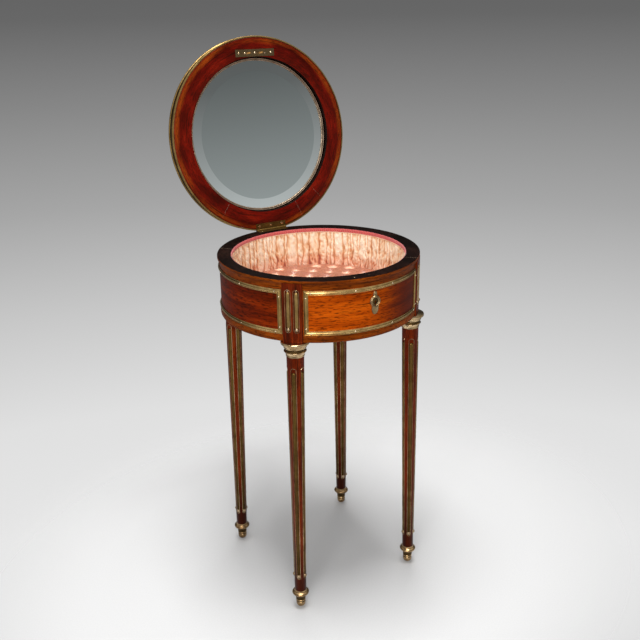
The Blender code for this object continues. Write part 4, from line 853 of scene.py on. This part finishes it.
def gathered_lining():
    """Silk drawn up into unequal pleats on the wall, tight under the braid, crumpled between, loose at the foot."""
    rng = random.Random(7)
    columns, rows, count = 1320, 60, 84
    widths = [rng.uniform(0.35, 1.9) for _ in range(count)]
    starts = np.cumsum([0.0] + widths) / sum(widths) * math.tau
    full = [rng.uniform(0.55, 1.0) for _ in range(count)]
    swing = [rng.uniform(0.0, math.tau) for _ in range(count)]
    beat = [rng.uniform(0.5, 1.6) for _ in range(count)]
    around = np.arange(columns) / columns * math.tau
    for stop in (-math.asin(LOCK_SIDE / WELL), math.asin(LOCK_SIDE / WELL)):
        around[np.argmin(abs(around - 1.5 * math.pi - stop))] = 1.5 * math.pi + stop
    heights = np.linspace(LINING_LOW, LINING_HIGH, rows)
    heights[np.argmin(abs(heights - LOCK_FLOOR))] = LOCK_FLOOR
    bm = bmesh.new()
    verts = []
    for z in heights:
        t = (z - LINING_LOW) / (LINING_HIGH - LINING_LOW)
        gather = min(1.0, (1.0 - t) / 0.12 + 0.25)
        row = []
        for a in around:
            x, y = math.cos(a), math.sin(a)
            drift = noise.noise((11.0 * x, 11.0 * y, 4.0 * t)) + 0.5 * noise.noise((34.0 * x, 34.0 * y, 6.0 * t + 4.0))
            b = (a + 0.030 * drift * math.sin(math.pi * min(t + 0.08, 1.0))) % math.tau
            k = min(int(np.searchsorted(starts, b, side="right")) - 1, count - 1)
            share = (b - starts[k]) / (starts[k + 1] - starts[k])
            crest = 1.0 - abs(2.0 * share - 1.0) ** 3.5
            lively = full[k] * (0.80 + 0.20 * math.sin(math.tau * beat[k] * t + swing[k]))
            crumple = noise.noise((24.0 * x + 3.0 * t, 24.0 * y, 7.0 * t + 20.0))
            crease = 0.4 - abs(noise.noise((28.0 * (x + 0.25 * t), 28.0 * (y + 0.25 * t), 6.0 * t + 50.0)))
            depth = 1.6 + gather * crest * (3.0 * lively + 1.6 * crumple + 2.2 * crease)
            depth = min(max(depth, 1.2), 5.6) * MM
            row.append(bm.verts.new(((WELL - depth) * x, (WELL - depth) * y, z)))
        verts.append(row)
    for low, high in zip(verts, verts[1:]):
        for k in range(columns):
            m = (k + 1) % columns
            middle = (low[k].co + low[m].co + high[k].co + high[m].co) / 4.0
            if abs(middle.x) > LOCK_SIDE or middle.y > 0.0 or middle.z < LOCK_FLOOR:
                bm.faces.new((low[k], high[k], high[m], low[m]))
    bmesh.ops.delete(bm, geom=[v for v in bm.verts if not v.link_faces], context="VERTS")
    bmesh.ops.solidify(bm, geom=bm.faces[:], thickness=-0.35 * MM)
    return bm


lining = piece("gathered_silk_lining", gathered_lining(), SILK, "table", ["wall_lining"], sharp=75.0)


def plaited_braid():
    """Flat gimp over the rim's inner wall: two rows of slanting plaits, rolled edges, the silk's hem below."""
    columns, rows, plaits = 1536, 13, 128
    angles = [math.tau * k / columns for k in range(columns)]
    bm = bmesh.new()
    loops = []
    for t in spaced(0.0, 1.0, rows):
        z = fade(BRAID_LOW, BRAID_HIGH, t)
        roll = math.sqrt(max(1.0 - (2.0 * t - 1.0) ** 6, 0.0))
        slant = 2.2 * abs(2.0 * t - 1.0)
        row = []
        for a in angles:
            proud = (0.7 + 0.75 * abs(math.sin(plaits * a + slant))) * roll
            radius = BRAID_OUT - (0.25 + proud) * MM
            row.append(bm.verts.new((radius * math.cos(a), radius * math.sin(a), z)))
        loops.append(row)
    for z in (BRAID_HIGH, BRAID_LOW):
        loops.append([bm.verts.new((BRAID_OUT * math.cos(a), BRAID_OUT * math.sin(a), z)) for a in angles])
    skin(bm, loops, closed=True)
    bm = carve(bm, block((-LOCK_SIDE, LOCK_SIDE), (-RIM_RADIUS, -0.75 * RIM_RADIUS), (LOCK_FLOOR, RIM_TOP + MM)))
    choose_finish(bm, lambda p, r: p.z < BRAID_LOW + 1.8 * MM, 1)
    return bm


braid = piece("coral_gimp_braid", plaited_braid(), [BRAID, SILK], "table", ["lining_braid"], sharp=60.0)

# Pad: satin over wadding, sewn down at each tuft of a square grid
TUFT_PITCH, TUFT_TURN = 36.6 * MM, math.radians(-43.0)
PAD_BRIM = PAD_RADIUS - 5.0 * MM
PAD_EDGE = 23.5 * MM
PAD_CROWN = 26.0 * MM
TUFT_SINK = 7.5 * MM


def tuft(i, j):
    """Point of the tuft grid; whole numbers fall on the tufts."""
    return TUFT_PITCH * Vector((i * math.cos(TUFT_TURN) - j * math.sin(TUFT_TURN),
                                i * math.sin(TUFT_TURN) + j * math.cos(TUFT_TURN)))


def tufted_pad():
    """Pad before it is filled: a fine mesh on the tuft grid, a drawn-in side and a flat underside."""
    split, around = 12, 200
    reach = 6
    grid = [(i / split, j / split) for i in range(-reach * split, reach * split + 1)
            for j in range(-reach * split, reach * split + 1)]
    flat = [tuft(i, j) for i, j in grid]
    flat = [p for p in flat if p.length < PAD_BRIM - 2.2 * MM]
    first = len(flat)
    turns = [math.tau * k / around for k in range(around)]
    flat += [Vector((PAD_BRIM * math.cos(a), PAD_BRIM * math.sin(a))) for a in turns]
    loop = [(first + k, first + (k + 1) % around) for k in range(around)]
    flat, _, cells, _, _, _ = delaunay_2d_cdt(flat, loop, [], 1, 1e-6)
    sewn = np.array([tuple(tuft(i, j)) for i in range(-reach, reach + 1) for j in range(-reach, reach + 1)
                     if tuft(i, j).length < PAD_BRIM - 6.0 * MM])
    bm = bmesh.new()
    held = []
    for p in flat:
        offsets = sewn - np.array((p.x, p.y))
        distances = np.hypot(offsets[:, 0], offsets[:, 1])
        nearest = int(np.argmin(distances))
        near = float(distances[nearest])
        turn = math.atan2(offsets[nearest][1], offsets[nearest][0]) - TUFT_TURN
        fold = math.cos(4.0 * turn) * math.exp(-((near - 6.0 * MM) / (4.0 * MM)) ** 2)
        u = (p.x * math.cos(TUFT_TURN) + p.y * math.sin(TUFT_TURN)) / TUFT_PITCH
        v = (p.y * math.cos(TUFT_TURN) - p.x * math.sin(TUFT_TURN)) / TUFT_PITCH
        seam = TUFT_PITCH * min(abs(u - round(u)), abs(v - round(v)))
        height = fade(PAD_EDGE, PAD_CROWN, 1.0 - (p.length / PAD_RADIUS) ** 6)
        height -= TUFT_SINK * math.exp(-(near / (8.0 * MM)) ** 1.5) + 0.7 * MM * fold
        bm.verts.new((p.x, p.y, PAD_FLOOR + height))
        sewn_down = near < 1.0 * MM or p.length > PAD_BRIM - 0.5 * MM
        held.append(1.0 if sewn_down else 0.15 if seam < 0.3 * MM else 0.0)
    bm.verts.ensure_lookup_table()
    for cell in cells:
        bm.faces.new([bm.verts[k] for k in cell])
    edge = [e for e in bm.edges if e.is_boundary]
    side = ((PAD_RADIUS - 1.5 * MM, 0.90), (PAD_RADIUS, 0.72), (PAD_RADIUS, 0.2), (PAD_RADIUS - 1.5 * MM, 0.06), (PAD_BRIM, 0.0))
    for radius, share in side:
        grown = bmesh.ops.extrude_edge_only(bm, edges=edge)["geom"]
        edge = [g for g in grown if isinstance(g, bmesh.types.BMEdge)]
        for v in [g for g in grown if isinstance(g, bmesh.types.BMVert)]:
            length = math.hypot(v.co.x, v.co.y)
            v.co = (v.co.x * radius / length, v.co.y * radius / length, PAD_FLOOR + share * PAD_EDGE)
            held.append(1.0)
    bmesh.ops.contextual_create(bm, geom=edge)
    return bm, held


def filled(pad, held):
    """Let the satin swell over its wadding between the tufts, and keep the result as the mesh."""
    start = np.empty(3 * len(pad.data.vertices))
    pad.data.vertices.foreach_get("co", start)
    group = pad.vertex_groups.new(name="sewn")
    for weight in sorted(set(held) - {0.0}):
        group.add([k for k, share in enumerate(held) if share == weight], weight, "REPLACE")
    cloth = pad.modifiers.new("filling", "CLOTH")
    rule = cloth.settings
    rule.quality = 6
    rule.mass = 0.25
    rule.air_damping = 2.0
    rule.tension_stiffness = 12.0
    rule.compression_stiffness = 6.0
    rule.shear_stiffness = 4.0
    rule.bending_stiffness = 0.4
    rule.vertex_group_mass = "sewn"
    rule.use_pressure = True
    rule.uniform_pressure_force = 2.0
    rule.shrink_min = -0.02
    rule.effector_weights.gravity = 0.0
    cloth.collision_settings.use_collision = False
    cloth.point_cache.frame_start = 1
    cloth.point_cache.frame_end = 24
    for number in range(1, 25):
        scene.frame_set(number)
    done = bpy.data.meshes.new_from_object(pad.evaluated_get(bpy.context.evaluated_depsgraph_get()))
    end = np.empty_like(start)
    done.vertices.foreach_get("co", end)
    bpy.data.meshes.remove(done)
    move = (end - start).reshape(-1, 3)
    length = np.linalg.norm(move, axis=1, keepdims=True)
    move *= np.minimum(1.0, 6.0 * MM / np.maximum(length, 1e-9))
    pad.modifiers.remove(cloth)
    pad.vertex_groups.remove(group)
    pad.data.vertices.foreach_set("co", (start.reshape(-1, 3) + move).ravel())
    pad.data.update()
    scene.frame_set(1)


shape, sewn_points = tufted_pad()
pad = piece("tufted_satin_pad", shape, SATIN, "table", ["base_cushion"], sharp=80.0)
filled(pad, sewn_points)
soften = pad.modifiers.new("finer", "SUBSURF")
soften.levels = 1
soften.render_levels = 1


# Keyhole plate
def keyhole_plate():
    """Cast plate: crest, raised ring, dished middle with a low boss, and a dished pendant.

    Each step in from the edge is a share of the oval, a share of crest and pendant, and a height in mm."""
    steps = [(1.00, 1.00, 0.0), (1.00, 1.00, 0.7), (0.97, 0.97, 1.3), (0.93, 0.90, 1.6), (0.92, 0.80, 1.5),
             (0.92, 0.62, 1.0), (0.93, 0.40, 0.9), (0.94, 0.18, 1.1), (0.95, 0.0, 1.9), (0.91, 0.0, 2.9),
             (0.86, 0.0, 3.4), (0.80, 0.0, 3.3), (0.75, 0.0, 2.6), (0.71, 0.0, 1.6), (0.66, 0.0, 1.1),
             (0.56, 0.0, 1.0), (0.46, 0.0, 1.2), (0.40, 0.0, 1.7), (0.30, 0.0, 1.9), (0.12, 0.0, 1.9)]
    rings = []
    for scale, lobes, proud in steps:
        ring = []
        for k in range(96):
            a = math.tau * k / 96
            oval = 1.0 / math.hypot(math.cos(a) / (11.0 * MM), math.sin(a) / (11.2 * MM))
            crest = 8.5 * MM * math.exp(-abs(math.remainder(a - 0.5 * math.pi, math.tau) / 0.27) ** 3)
            drop = 14.0 * MM * math.exp(-abs(math.remainder(a + 0.5 * math.pi, math.tau) / 0.46) ** 2.6)
            reach = oval * scale + lobes * (crest + drop)
            ring.append((reach * math.cos(a), -(FRIEZE + GAP + proud * MM), KEY_Z + reach * math.sin(a)))
        rings.append(ring)
    bm = carve(loft(rings), *keyhole(-RIM_RADIUS - 15.0 * MM, -RIM_RADIUS + 10.0 * MM))
    # The dished middle takes the dark hollow finish: tarnish, and painted shade round the keyhole
    choose_finish(bm, lambda p, r: math.hypot(p.x, p.z - KEY_Z + 0.5 * MM) < 6.2 * MM, 1)
    return bm


piece("cast_keyhole_plate", keyhole_plate(), [PLATE_BRASS, DARK_BRASS], "table", ["escutcheon"], sharp=45.0)

# Lid
notch = ((-HINGE_SIDE, HINGE_SIDE), (HINGE.y - 3.6 * MM, 0.22), (-4.0 * MM, 3.45 * MM))
bed = ((-HINGE_SIDE, HINGE_SIDE), (HINGE_BED, HINGE.y), (-7.5 * MM, 2.1 * MM))
strike_bed = ((-44.8 * MM, 44.8 * MM), (-174.8 * MM, -159.7 * MM), (-4.0 * MM, 1.8 * MM))
cuts = [block(*notch), block(*bed), block(*strike_bed)]
for angle in (125.0, 66.0, 48.0):
    joint = block((LID_OPENING + 2.0 * MM, LID_WOOD - 3.0 * MM), (-0.12 * MM, 0.12 * MM), (-MM, 0.12 * MM))
    joint.transform(Matrix.Rotation(math.radians(angle), 4, "Z"))
    cuts.append(joint)
ring = turned(bowed([(LID_OPENING, LID_INSIDE, 0), (LID_OPENING, 0.8 * MM, 0), (LID_OPENING + 0.8 * MM, 0.0, 0.2 * MM),
                     (LID_WOOD - 2.0 * MM, 0.0, 0), (LID_WOOD, 1.6 * MM, 0.4 * MM), (LID_WOOD, LID_INSIDE, 0),
                     (LID_OPENING, LID_INSIDE, 0)])[:-1], 192)
ring = carve(ring, *cuts)
# The opening's inner wall takes the black stain, painted shade for the gap round the slip
choose_finish(ring, lambda p, r: r < LID_OPENING + 0.7 * MM, 1)
choose_finish(ring, lambda p, r: 0.02 * MM < p.z < 0.2 * MM and LID_OPENING + 2 * MM < r < LID_WOOD - 3 * MM, 2)
piece("lid_ring", ring, [LID_RING, EBONISED, WORN_JOINT], "lid", ["lid_frame"], LID)

top = turned(bowed([(0.0, LID_INSIDE + GAP, 0), (LID_WOOD, LID_INSIDE + GAP, 0), (LID_WOOD, LID_THICK - 1.4 * MM, 0),
                    (LID_WOOD - 1.4 * MM, LID_THICK, 0.4 * MM), (0.6 * LID_WOOD, LID_THICK, 0), (0.0, LID_THICK, 0)]), 192)
piece("lid_top_veneered", top, LID_TOP, "lid", ["lid_top_panel"], LID)

inner, crest = LID_WOOD + GAP, LID_WOOD + 2.4 * MM
edge = turned(bowed([(inner, 0.0, 0), (crest, 0.0, 0), (crest, 4.6 * MM, 1.0 * MM), (crest - 0.5 * MM, 5.0 * MM, 0),
                     (crest - 0.5 * MM, 17.0 * MM, -1.1 * MM), (crest, 17.4 * MM, 0), (crest, LID_THICK, 1.0 * MM),
                     (inner, LID_THICK, 0), (inner, 0.0, 0)])[:-1], 192)
edge = carve(edge, block(*notch), block(*bed))
# The hollow takes the dark hollow finish: tarnish, and painted shade
choose_finish(edge, lambda p, r: 5.2 * MM < p.z < 16.8 * MM and r > inner + 0.1 * MM, 1)
piece("moulded_brass_edge", edge, [EDGE_BRASS, DARK_BRASS], "lid", ["lid_edge_moulding"], LID, 30.0)

glass = turned([(0.0, MIRROR_FACE), (0.5 * MIRROR_FLAT, MIRROR_FACE), (MIRROR_FLAT, MIRROR_FACE),
                (MIRROR_EDGE, MIRROR_FACE + 0.5 * MM), (MIRROR_EDGE, LID_INSIDE), (0.0, LID_INSIDE)], 192)
piece("bevelled_mirror", glass, MIRROR, "lid", ["mirror_glass"], LID, 0.8)

slip_in = LID_OPENING - 6.2 * MM
slip_back = MIRROR_FACE + 0.15 * MM
slip = turned(bowed([(MIRROR_EDGE, slip_back + 0.2 * MM, 0), (slip_in, slip_back, 0), (slip_in, slip_back - 1.1 * MM, 0),
                     (slip_in + 1.6 * MM, slip_back - 2.2 * MM, 0.5 * MM), (slip_in + 2.2 * MM, slip_back - 2.0 * MM, 0),
                     (slip_in + 4.2 * MM, slip_back - 2.3 * MM, -0.25 * MM), (slip_in + 4.5 * MM, slip_back - 1.6 * MM, 0),
                     (MIRROR_EDGE, slip_back - 1.6 * MM, 0), (MIRROR_EDGE, slip_back + 0.2 * MM, 0)])[:-1], 192)
# The slip's outer rim is painted black, painted shade for the gap against the ring
choose_finish(slip, lambda p, r: r > slip_in + 4.4 * MM, 1)
piece("gilt_mirror_slip", slip, [GILT_SLIP, EBONISED], "lid", ["mirror_bezel"], LID, 30.0)

# Hinge, lock and strike keep the shape of their solids; screws and rivets are added
for name, mat in (("hinge_rim_leaf", BRASS_ROD), ("hinge_lid_leaf", BRASS_ROD), ("strike_plate", PLATE_BRASS),
                  ("lock_bolt", BRASS), ("lock_case", STEEL), ("base_board", BASE_WOOD)):
    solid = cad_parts[name]
    solid.data.materials.clear()
    solid.data.materials.append(mat)
rivets = bmesh.new()
for x in (-37.0, -22.5, 0.0, 22.5, 37.0):
    dome(rivets, Vector((x * MM, -167.25 * MM, 0.1 * MM)), (0.0, 0.0, -1.0), 2.2 * MM, 0.6)
piece("strike_rivets", rivets, BRIGHT_BRASS, "lid", place=LID)
screw_line = HINGE.y - 9.2 * MM
spots = [(Vector((x * MM, screw_line, 0.0)), (0.0, 0.0, -1.0), turn) for x, turn in ((-27, 10.0), (0, 55.0), (27, -30.0))]
piece("hinge_lid_screws", screws(spots, 2.3 * MM), BRASS, "lid", place=LID)
spots = [(Vector((x * MM, screw_line, RIM_TOP)), (0.0, 0.0, 1.0), turn) for x, turn in ((-27, -20.0), (0, 35.0), (27, 75.0))]
piece("hinge_rim_screws", screws(spots, 2.3 * MM), BRASS, "table")
case_low, case_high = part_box("lock_case")
spots = [(Vector((x, case_high[1], z)), (0.0, 1.0, 0.0), turn)
         for x, z, turn in ((case_low[0] + 6.0 * MM, case_low[2] + 6.0 * MM, 15.0),
                            (case_high[0] - 6.0 * MM, case_low[2] + 6.0 * MM, 70.0),
                            (case_low[0] + 6.0 * MM, case_high[2] - 9.0 * MM, -35.0),
                            (case_high[0] - 6.0 * MM, case_high[2] - 9.0 * MM, 50.0))]
piece("lock_case_screws", screws(spots, 2.4 * MM, 0.45 * MM), BRASS, "table")


# Floor, backdrop, light and camera
def studio_floor():
    """Pale matt paper that fades into the backdrop a metre from the table."""
    mat = bpy.data.materials.new("pale_paper_floor")
    mat.use_nodes = True
    tree = mat.node_tree
    tree.nodes.remove(tree.nodes["Principled BSDF"])
    place = add(tree, "ShaderNodeTexCoord").outputs["Object"]
    oval = add(tree, "ShaderNodeMapping", {"Vector": place, "Rotation": (0.0, 0.0, 0.54), "Scale": (1.0, 1.25, 1.0)})
    far = add(tree, "ShaderNodeVectorMath", {0: oval.outputs[0]}, operation="LENGTH")
    share = add(tree, "ShaderNodeMapRange", {0: far.outputs["Value"], 1: 0.50, 2: 0.92}, interpolation_type="SMOOTHSTEP")
    grain = add(tree, "ShaderNodeTexNoise", {"Vector": place, "Scale": 1000.0 / 3.0, "Detail": 2.0})
    paper = add(tree, "ShaderNodeValToRGB", {0: grain.outputs[0]}, [(0.3, "#cacaca"), (0.7, "#cecece")])
    matt = add(tree, "ShaderNodeBsdfDiffuse", {0: paper.outputs[0]})
    clear = add(tree, "ShaderNodeBsdfTransparent")
    both = add(tree, "ShaderNodeMixShader", {0: share.outputs[0], 1: matt.outputs[0], 2: clear.outputs[0]})
    tree.links.new(both.outputs[0], tree.nodes["Material Output"].inputs["Surface"])
    bm = bmesh.new()
    bmesh.ops.create_circle(bm, cap_ends=True, segments=96, radius=1.3)
    mesh = bpy.data.meshes.new("floor")
    bm.to_mesh(mesh)
    bm.free()
    mesh.materials.append(mat)
    ob = bpy.data.objects.new("floor", mesh)
    ob.location.z = -0.2 * MM
    scene.collection.objects.link(ob)


def studio_backdrop():
    """Even light for the object; the camera, metal and glass see grey paper that pales towards the floor.

    For metal and glass the paper is bright in front, overhead and on the left, and flagged off elsewhere."""
    world = bpy.data.worlds.new("studio")
    scene.world = world
    world.use_nodes = True
    tree = world.node_tree
    tree.nodes.clear()
    sight = add(tree, "ShaderNodeLightPath")
    way = add(tree, "ShaderNodeTexCoord").outputs["Generated"]
    height = add(tree, "ShaderNodeSeparateXYZ", {0: way}).outputs[2]
    tilt = add(tree, "ShaderNodeMath", {0: height, 1: 0.40, 2: -0.23}, operation="MULTIPLY_ADD")
    lift = add(tree, "ShaderNodeMath", {0: sight.outputs["Is Glossy Ray"], 1: tilt.outputs[0], 2: height},
               operation="MULTIPLY_ADD")
    toward = add(tree, "ShaderNodeVectorMath", {0: way, 1: (0.515, -0.857, 0.0)}, operation="DOT_PRODUCT")
    flags = add(tree, "ShaderNodeMapRange", {0: toward.outputs["Value"], 1: 0.40, 2: 0.82, 3: -0.68, 4: 0.0})
    ceiling = add(tree, "ShaderNodeMapRange", {0: height, 1: 0.45, 2: 0.75, 3: 0.0, 4: 6.0})
    aside = add(tree, "ShaderNodeVectorMath", {0: way, 1: (-1.0, 0.0, 0.0)}, operation="DOT_PRODUCT")
    window = add(tree, "ShaderNodeMapRange", {0: aside.outputs["Value"], 1: 0.72, 2: 0.95, 3: 0.0, 4: 0.85})
    shape = add(tree, "ShaderNodeMath", {0: flags.outputs[0], 1: ceiling.outputs[0]}, operation="ADD")
    shape = add(tree, "ShaderNodeMath", {0: shape.outputs[0], 1: window.outputs[0]}, operation="ADD")
    level = add(tree, "ShaderNodeMath", {0: sight.outputs["Is Glossy Ray"], 1: shape.outputs[0], 2: 1.0},
                operation="MULTIPLY_ADD")
    climb = add(tree, "ShaderNodeMapRange", {0: lift.outputs[0], 1: -0.65, 2: 0.05})
    paper = add(tree, "ShaderNodeValToRGB", {0: climb.outputs[0]},
                [(0.0, "#dcdcdc"), (0.14, "#e6e6e6"), (0.29, "#e0e0e0"), (0.45, "#c8c8c8"), (0.617, "#a6a6a6"),
                 (0.78, "#878787"), (0.916, "#676767"), (1.0, "#606060")])
    seen = add(tree, "ShaderNodeMath", {0: sight.outputs["Is Camera Ray"], 1: sight.outputs["Is Glossy Ray"]},
               operation="MAXIMUM")
    seen = add(tree, "ShaderNodeMath", {0: seen.outputs[0], 1: sight.outputs["Is Transmission Ray"]}, operation="MAXIMUM")
    soft = add(tree, "ShaderNodeBackground", {0: tint("#ffffff"), 1: 0.24})
    shown = add(tree, "ShaderNodeBackground", {0: paper.outputs[0], 1: level.outputs[0]})
    both = add(tree, "ShaderNodeMixShader", {0: seen.outputs[0], 1: soft.outputs[0], 2: shown.outputs[0]})
    add(tree, "ShaderNodeOutputWorld", {0: both.outputs[0]})


def softbox(name, place, aim, size, power, mirrored=True):
    """Square soft lamp; one that is not mirrored lights matt surfaces alone."""
    data = bpy.data.lights.new(name, "AREA")
    data.shape = "SQUARE"
    data.size = size
    data.energy = power
    ob = bpy.data.objects.new(name, data)
    ob.location = place
    ob.visible_glossy = mirrored
    ob.rotation_mode = "QUATERNION"
    ob.rotation_quaternion = (Vector(aim) - Vector(place)).to_track_quat("-Z", "Y")
    scene.collection.objects.link(ob)


studio_floor()
studio_backdrop()
softbox("overhead", (-0.07, -0.12, 4.00), (-0.07, -0.12, 0.0), 1.45, 146.0)
softbox("front", (-1.35, -1.86, 1.40), (0.0, 0.0, 0.62), 1.5, 43.0)
softbox("back_fill", (1.20, 1.90, 1.50), (0.0, 0.0, 0.75), 1.8, 20.0, mirrored=False)

azimuth, elevation, roll = (math.radians(a) for a in (-30.895, 21.030, -0.864))
back = Vector((math.sin(azimuth) * math.cos(elevation), -math.cos(azimuth) * math.cos(elevation), math.sin(elevation)))
right = Vector((math.cos(azimuth), math.sin(azimuth), 0.0))
up = right.cross(-back)
across = right * math.cos(roll) + up * math.sin(roll)
upright = up * math.cos(roll) - right * math.sin(roll)
camera = bpy.data.objects.new("camera", bpy.data.cameras.new("camera"))
camera.data.sensor_width = 36.0
camera.data.lens = 36.0 * 814.03 / 640.0
stand = Vector((0.0, 0.0, 0.56004)) + right * 0.00101 + back * 1.66673
camera.matrix_world = Matrix.Translation(stand) @ Matrix((across, upright, back)).transposed().to_4x4()
scene.collection.objects.link(camera)
scene.camera = camera
scene.view_settings.view_transform = "Standard"
